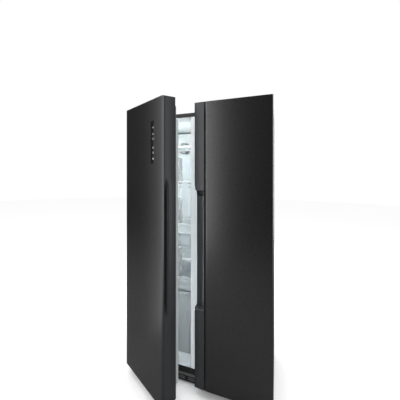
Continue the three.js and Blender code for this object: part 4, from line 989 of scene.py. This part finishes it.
for node, mat, bevel, slot in (
    ("rear_panel", "zinc", 0.3 * MM, "galvanised"),
    ("foam_sides_and_roof", "foam", 0, "foam"),
    ("foam_back_floor_divider", "foam", 0, "foam"),
    ("mullion_cover", "painted_glow", 2 * MM, "white_plastic"),
    ("base_frame", "zinc", 0.6 * MM, "galvanised"),
    ("kick_plate", "black", 0.6 * MM, "black_plastic"),
    ("machine_cover", "zinc", 0.5 * MM, "galvanised"),
    ("cord_inlet", "rubber", 0.5 * MM, "black_plastic"),
    ("evaporator_cover", "white", 1.2 * MM, "white_plastic"),
    ("evaporator", "fins", 0.3 * MM, "aluminium"),
    ("fridge_air_duct", "white", 1.2 * MM, "white_plastic"),
):
    dress(node, mat, bevel)
compressor()
condenser()
fan("condenser_fan", "condenser_fan", 68 * MM, 26 * MM, "X")
fan("evaporator_fan", "evaporator_fan", 48 * MM, 20 * MM, "Y")
rear_details()
rear_corners()

# ---- studio -------------------------------------------------------------------------------


def studio_floor():
    """A disc, nearly white to the camera with a painted contact shadow where it is shut in, that
    lights the object as grey.
    """
    bm = bmesh.new()
    bmesh.ops.create_circle(bm, cap_ends=True, segments=96, radius=14.0)
    mesh = bpy.data.meshes.new("floor")
    bm.to_mesh(mesh)
    bm.free()
    floor = bpy.data.objects.new("floor", mesh)
    bpy.context.scene.collection.objects.link(floor)
    mat = look("pale_floor", (0.6, 0.6, 0.6), 0.75, grain=(90,) * 3, tint=0.02, relief=0.02)
    tree = mat.node_tree
    dim, out = tree.nodes.new("ShaderNodeBsdfDiffuse"), tree.nodes["Material Output"]
    dim.inputs["Color"].default_value = (0.42, 0.42, 0.42, 1)
    path, mix = tree.nodes.new("ShaderNodeLightPath"), tree.nodes.new("ShaderNodeMixShader")
    # Ambient occlusion darkens the floor's emission near the object: a painted contact shadow
    painted_contact_shadow = tree.nodes.new("ShaderNodeAmbientOcclusion")
    painted_contact_shadow.inputs["Distance"].default_value = 0.3
    tree.links.new(painted_contact_shadow.outputs["Color"], tree.nodes["Principled BSDF"].inputs["Emission Color"])
    tree.nodes["Principled BSDF"].inputs["Emission Strength"].default_value = 0.92
    tree.links.new(path.outputs["Is Camera Ray"], mix.inputs["Fac"])
    tree.links.new(dim.outputs["BSDF"], mix.inputs[1])
    tree.links.new(tree.nodes["Principled BSDF"].outputs["BSDF"], mix.inputs[2])
    tree.links.new(mix.outputs["Shader"], out.inputs["Surface"])
    mesh.materials.append(mat)


def softbox(name, at, towards, size, power):
    """A white rectangular lamp that the camera doesn't see."""
    data = bpy.data.lights.new(name, "AREA")
    data.shape = "RECTANGLE"
    data.size, data.size_y = size
    data.energy = power
    light = bpy.data.objects.new(name, data)
    bpy.context.scene.collection.objects.link(light)
    light.location = at
    light.rotation_mode = "QUATERNION"
    light.rotation_quaternion = (Vector(towards) - Vector(at)).to_track_quat("-Z", "Y")
    light.visible_camera = False


def studio_light():
    """Five softboxes in a world that is white to the camera and dim to every other ray."""
    world = bpy.data.worlds.new("studio")
    world.use_nodes = True
    tree = world.node_tree
    tree.nodes.clear()
    out = tree.nodes.new("ShaderNodeOutputWorld")
    seen, fill = tree.nodes.new("ShaderNodeBackground"), tree.nodes.new("ShaderNodeBackground")
    seen.inputs["Color"].default_value = (1, 1, 1, 1)
    seen.inputs["Strength"].default_value = 1.0
    fill.inputs["Color"].default_value = (1, 1, 1, 1)
    fill.inputs["Strength"].default_value = 0.07
    path, mix = tree.nodes.new("ShaderNodeLightPath"), tree.nodes.new("ShaderNodeMixShader")
    tree.links.new(path.outputs["Is Camera Ray"], mix.inputs["Fac"])
    tree.links.new(fill.outputs["Background"], mix.inputs[1])
    tree.links.new(seen.outputs["Background"], mix.inputs[2])
    tree.links.new(mix.outputs["Shader"], out.inputs["Surface"])
    bpy.context.scene.world = world
    softbox("left_box", (-1.0, -1.42, 1.4), (0, -1.42, 1.4), (2.0, 4.0), 38)
    softbox("front_box", (-1.15, -3.2, 1.4), (0.05, -0.25, 1.2), (1.0, 4.0), 50)
    softbox("right_box", (2.8, -0.45, 1.3), (0, -0.45, 1.3), (1.1, 3.6), 28)
    softbox("top_box", (0.0, 0.2, 4.2), (0, 0, 0), (4.5, 4.5), 130)
    softbox("rear_box", (1.8, 3.2, 1.6), (0, 0.3, 0.9), (2.4, 3.0), 60)


def camera():
    """The photograph's view: level, from just past the cabinet's right side, turned left."""
    data = bpy.data.cameras.new("camera")
    data.sensor_width = 36.0
    data.lens = 24.58
    data.shift_x, data.shift_y = 0.125, -0.0656
    data.clip_start, data.clip_end = 0.05, 60
    cam = bpy.data.objects.new("camera", data)
    bpy.context.scene.collection.objects.link(cam)
    cam.location = (0.4745, -1.8275, 1.3545)
    cam.rotation_euler = (math.radians(90), 0, math.radians(24.86))
    bpy.context.scene.camera = cam


studio_floor()
studio_light()
camera()
bpy.context.scene.view_settings.view_transform = "Standard"
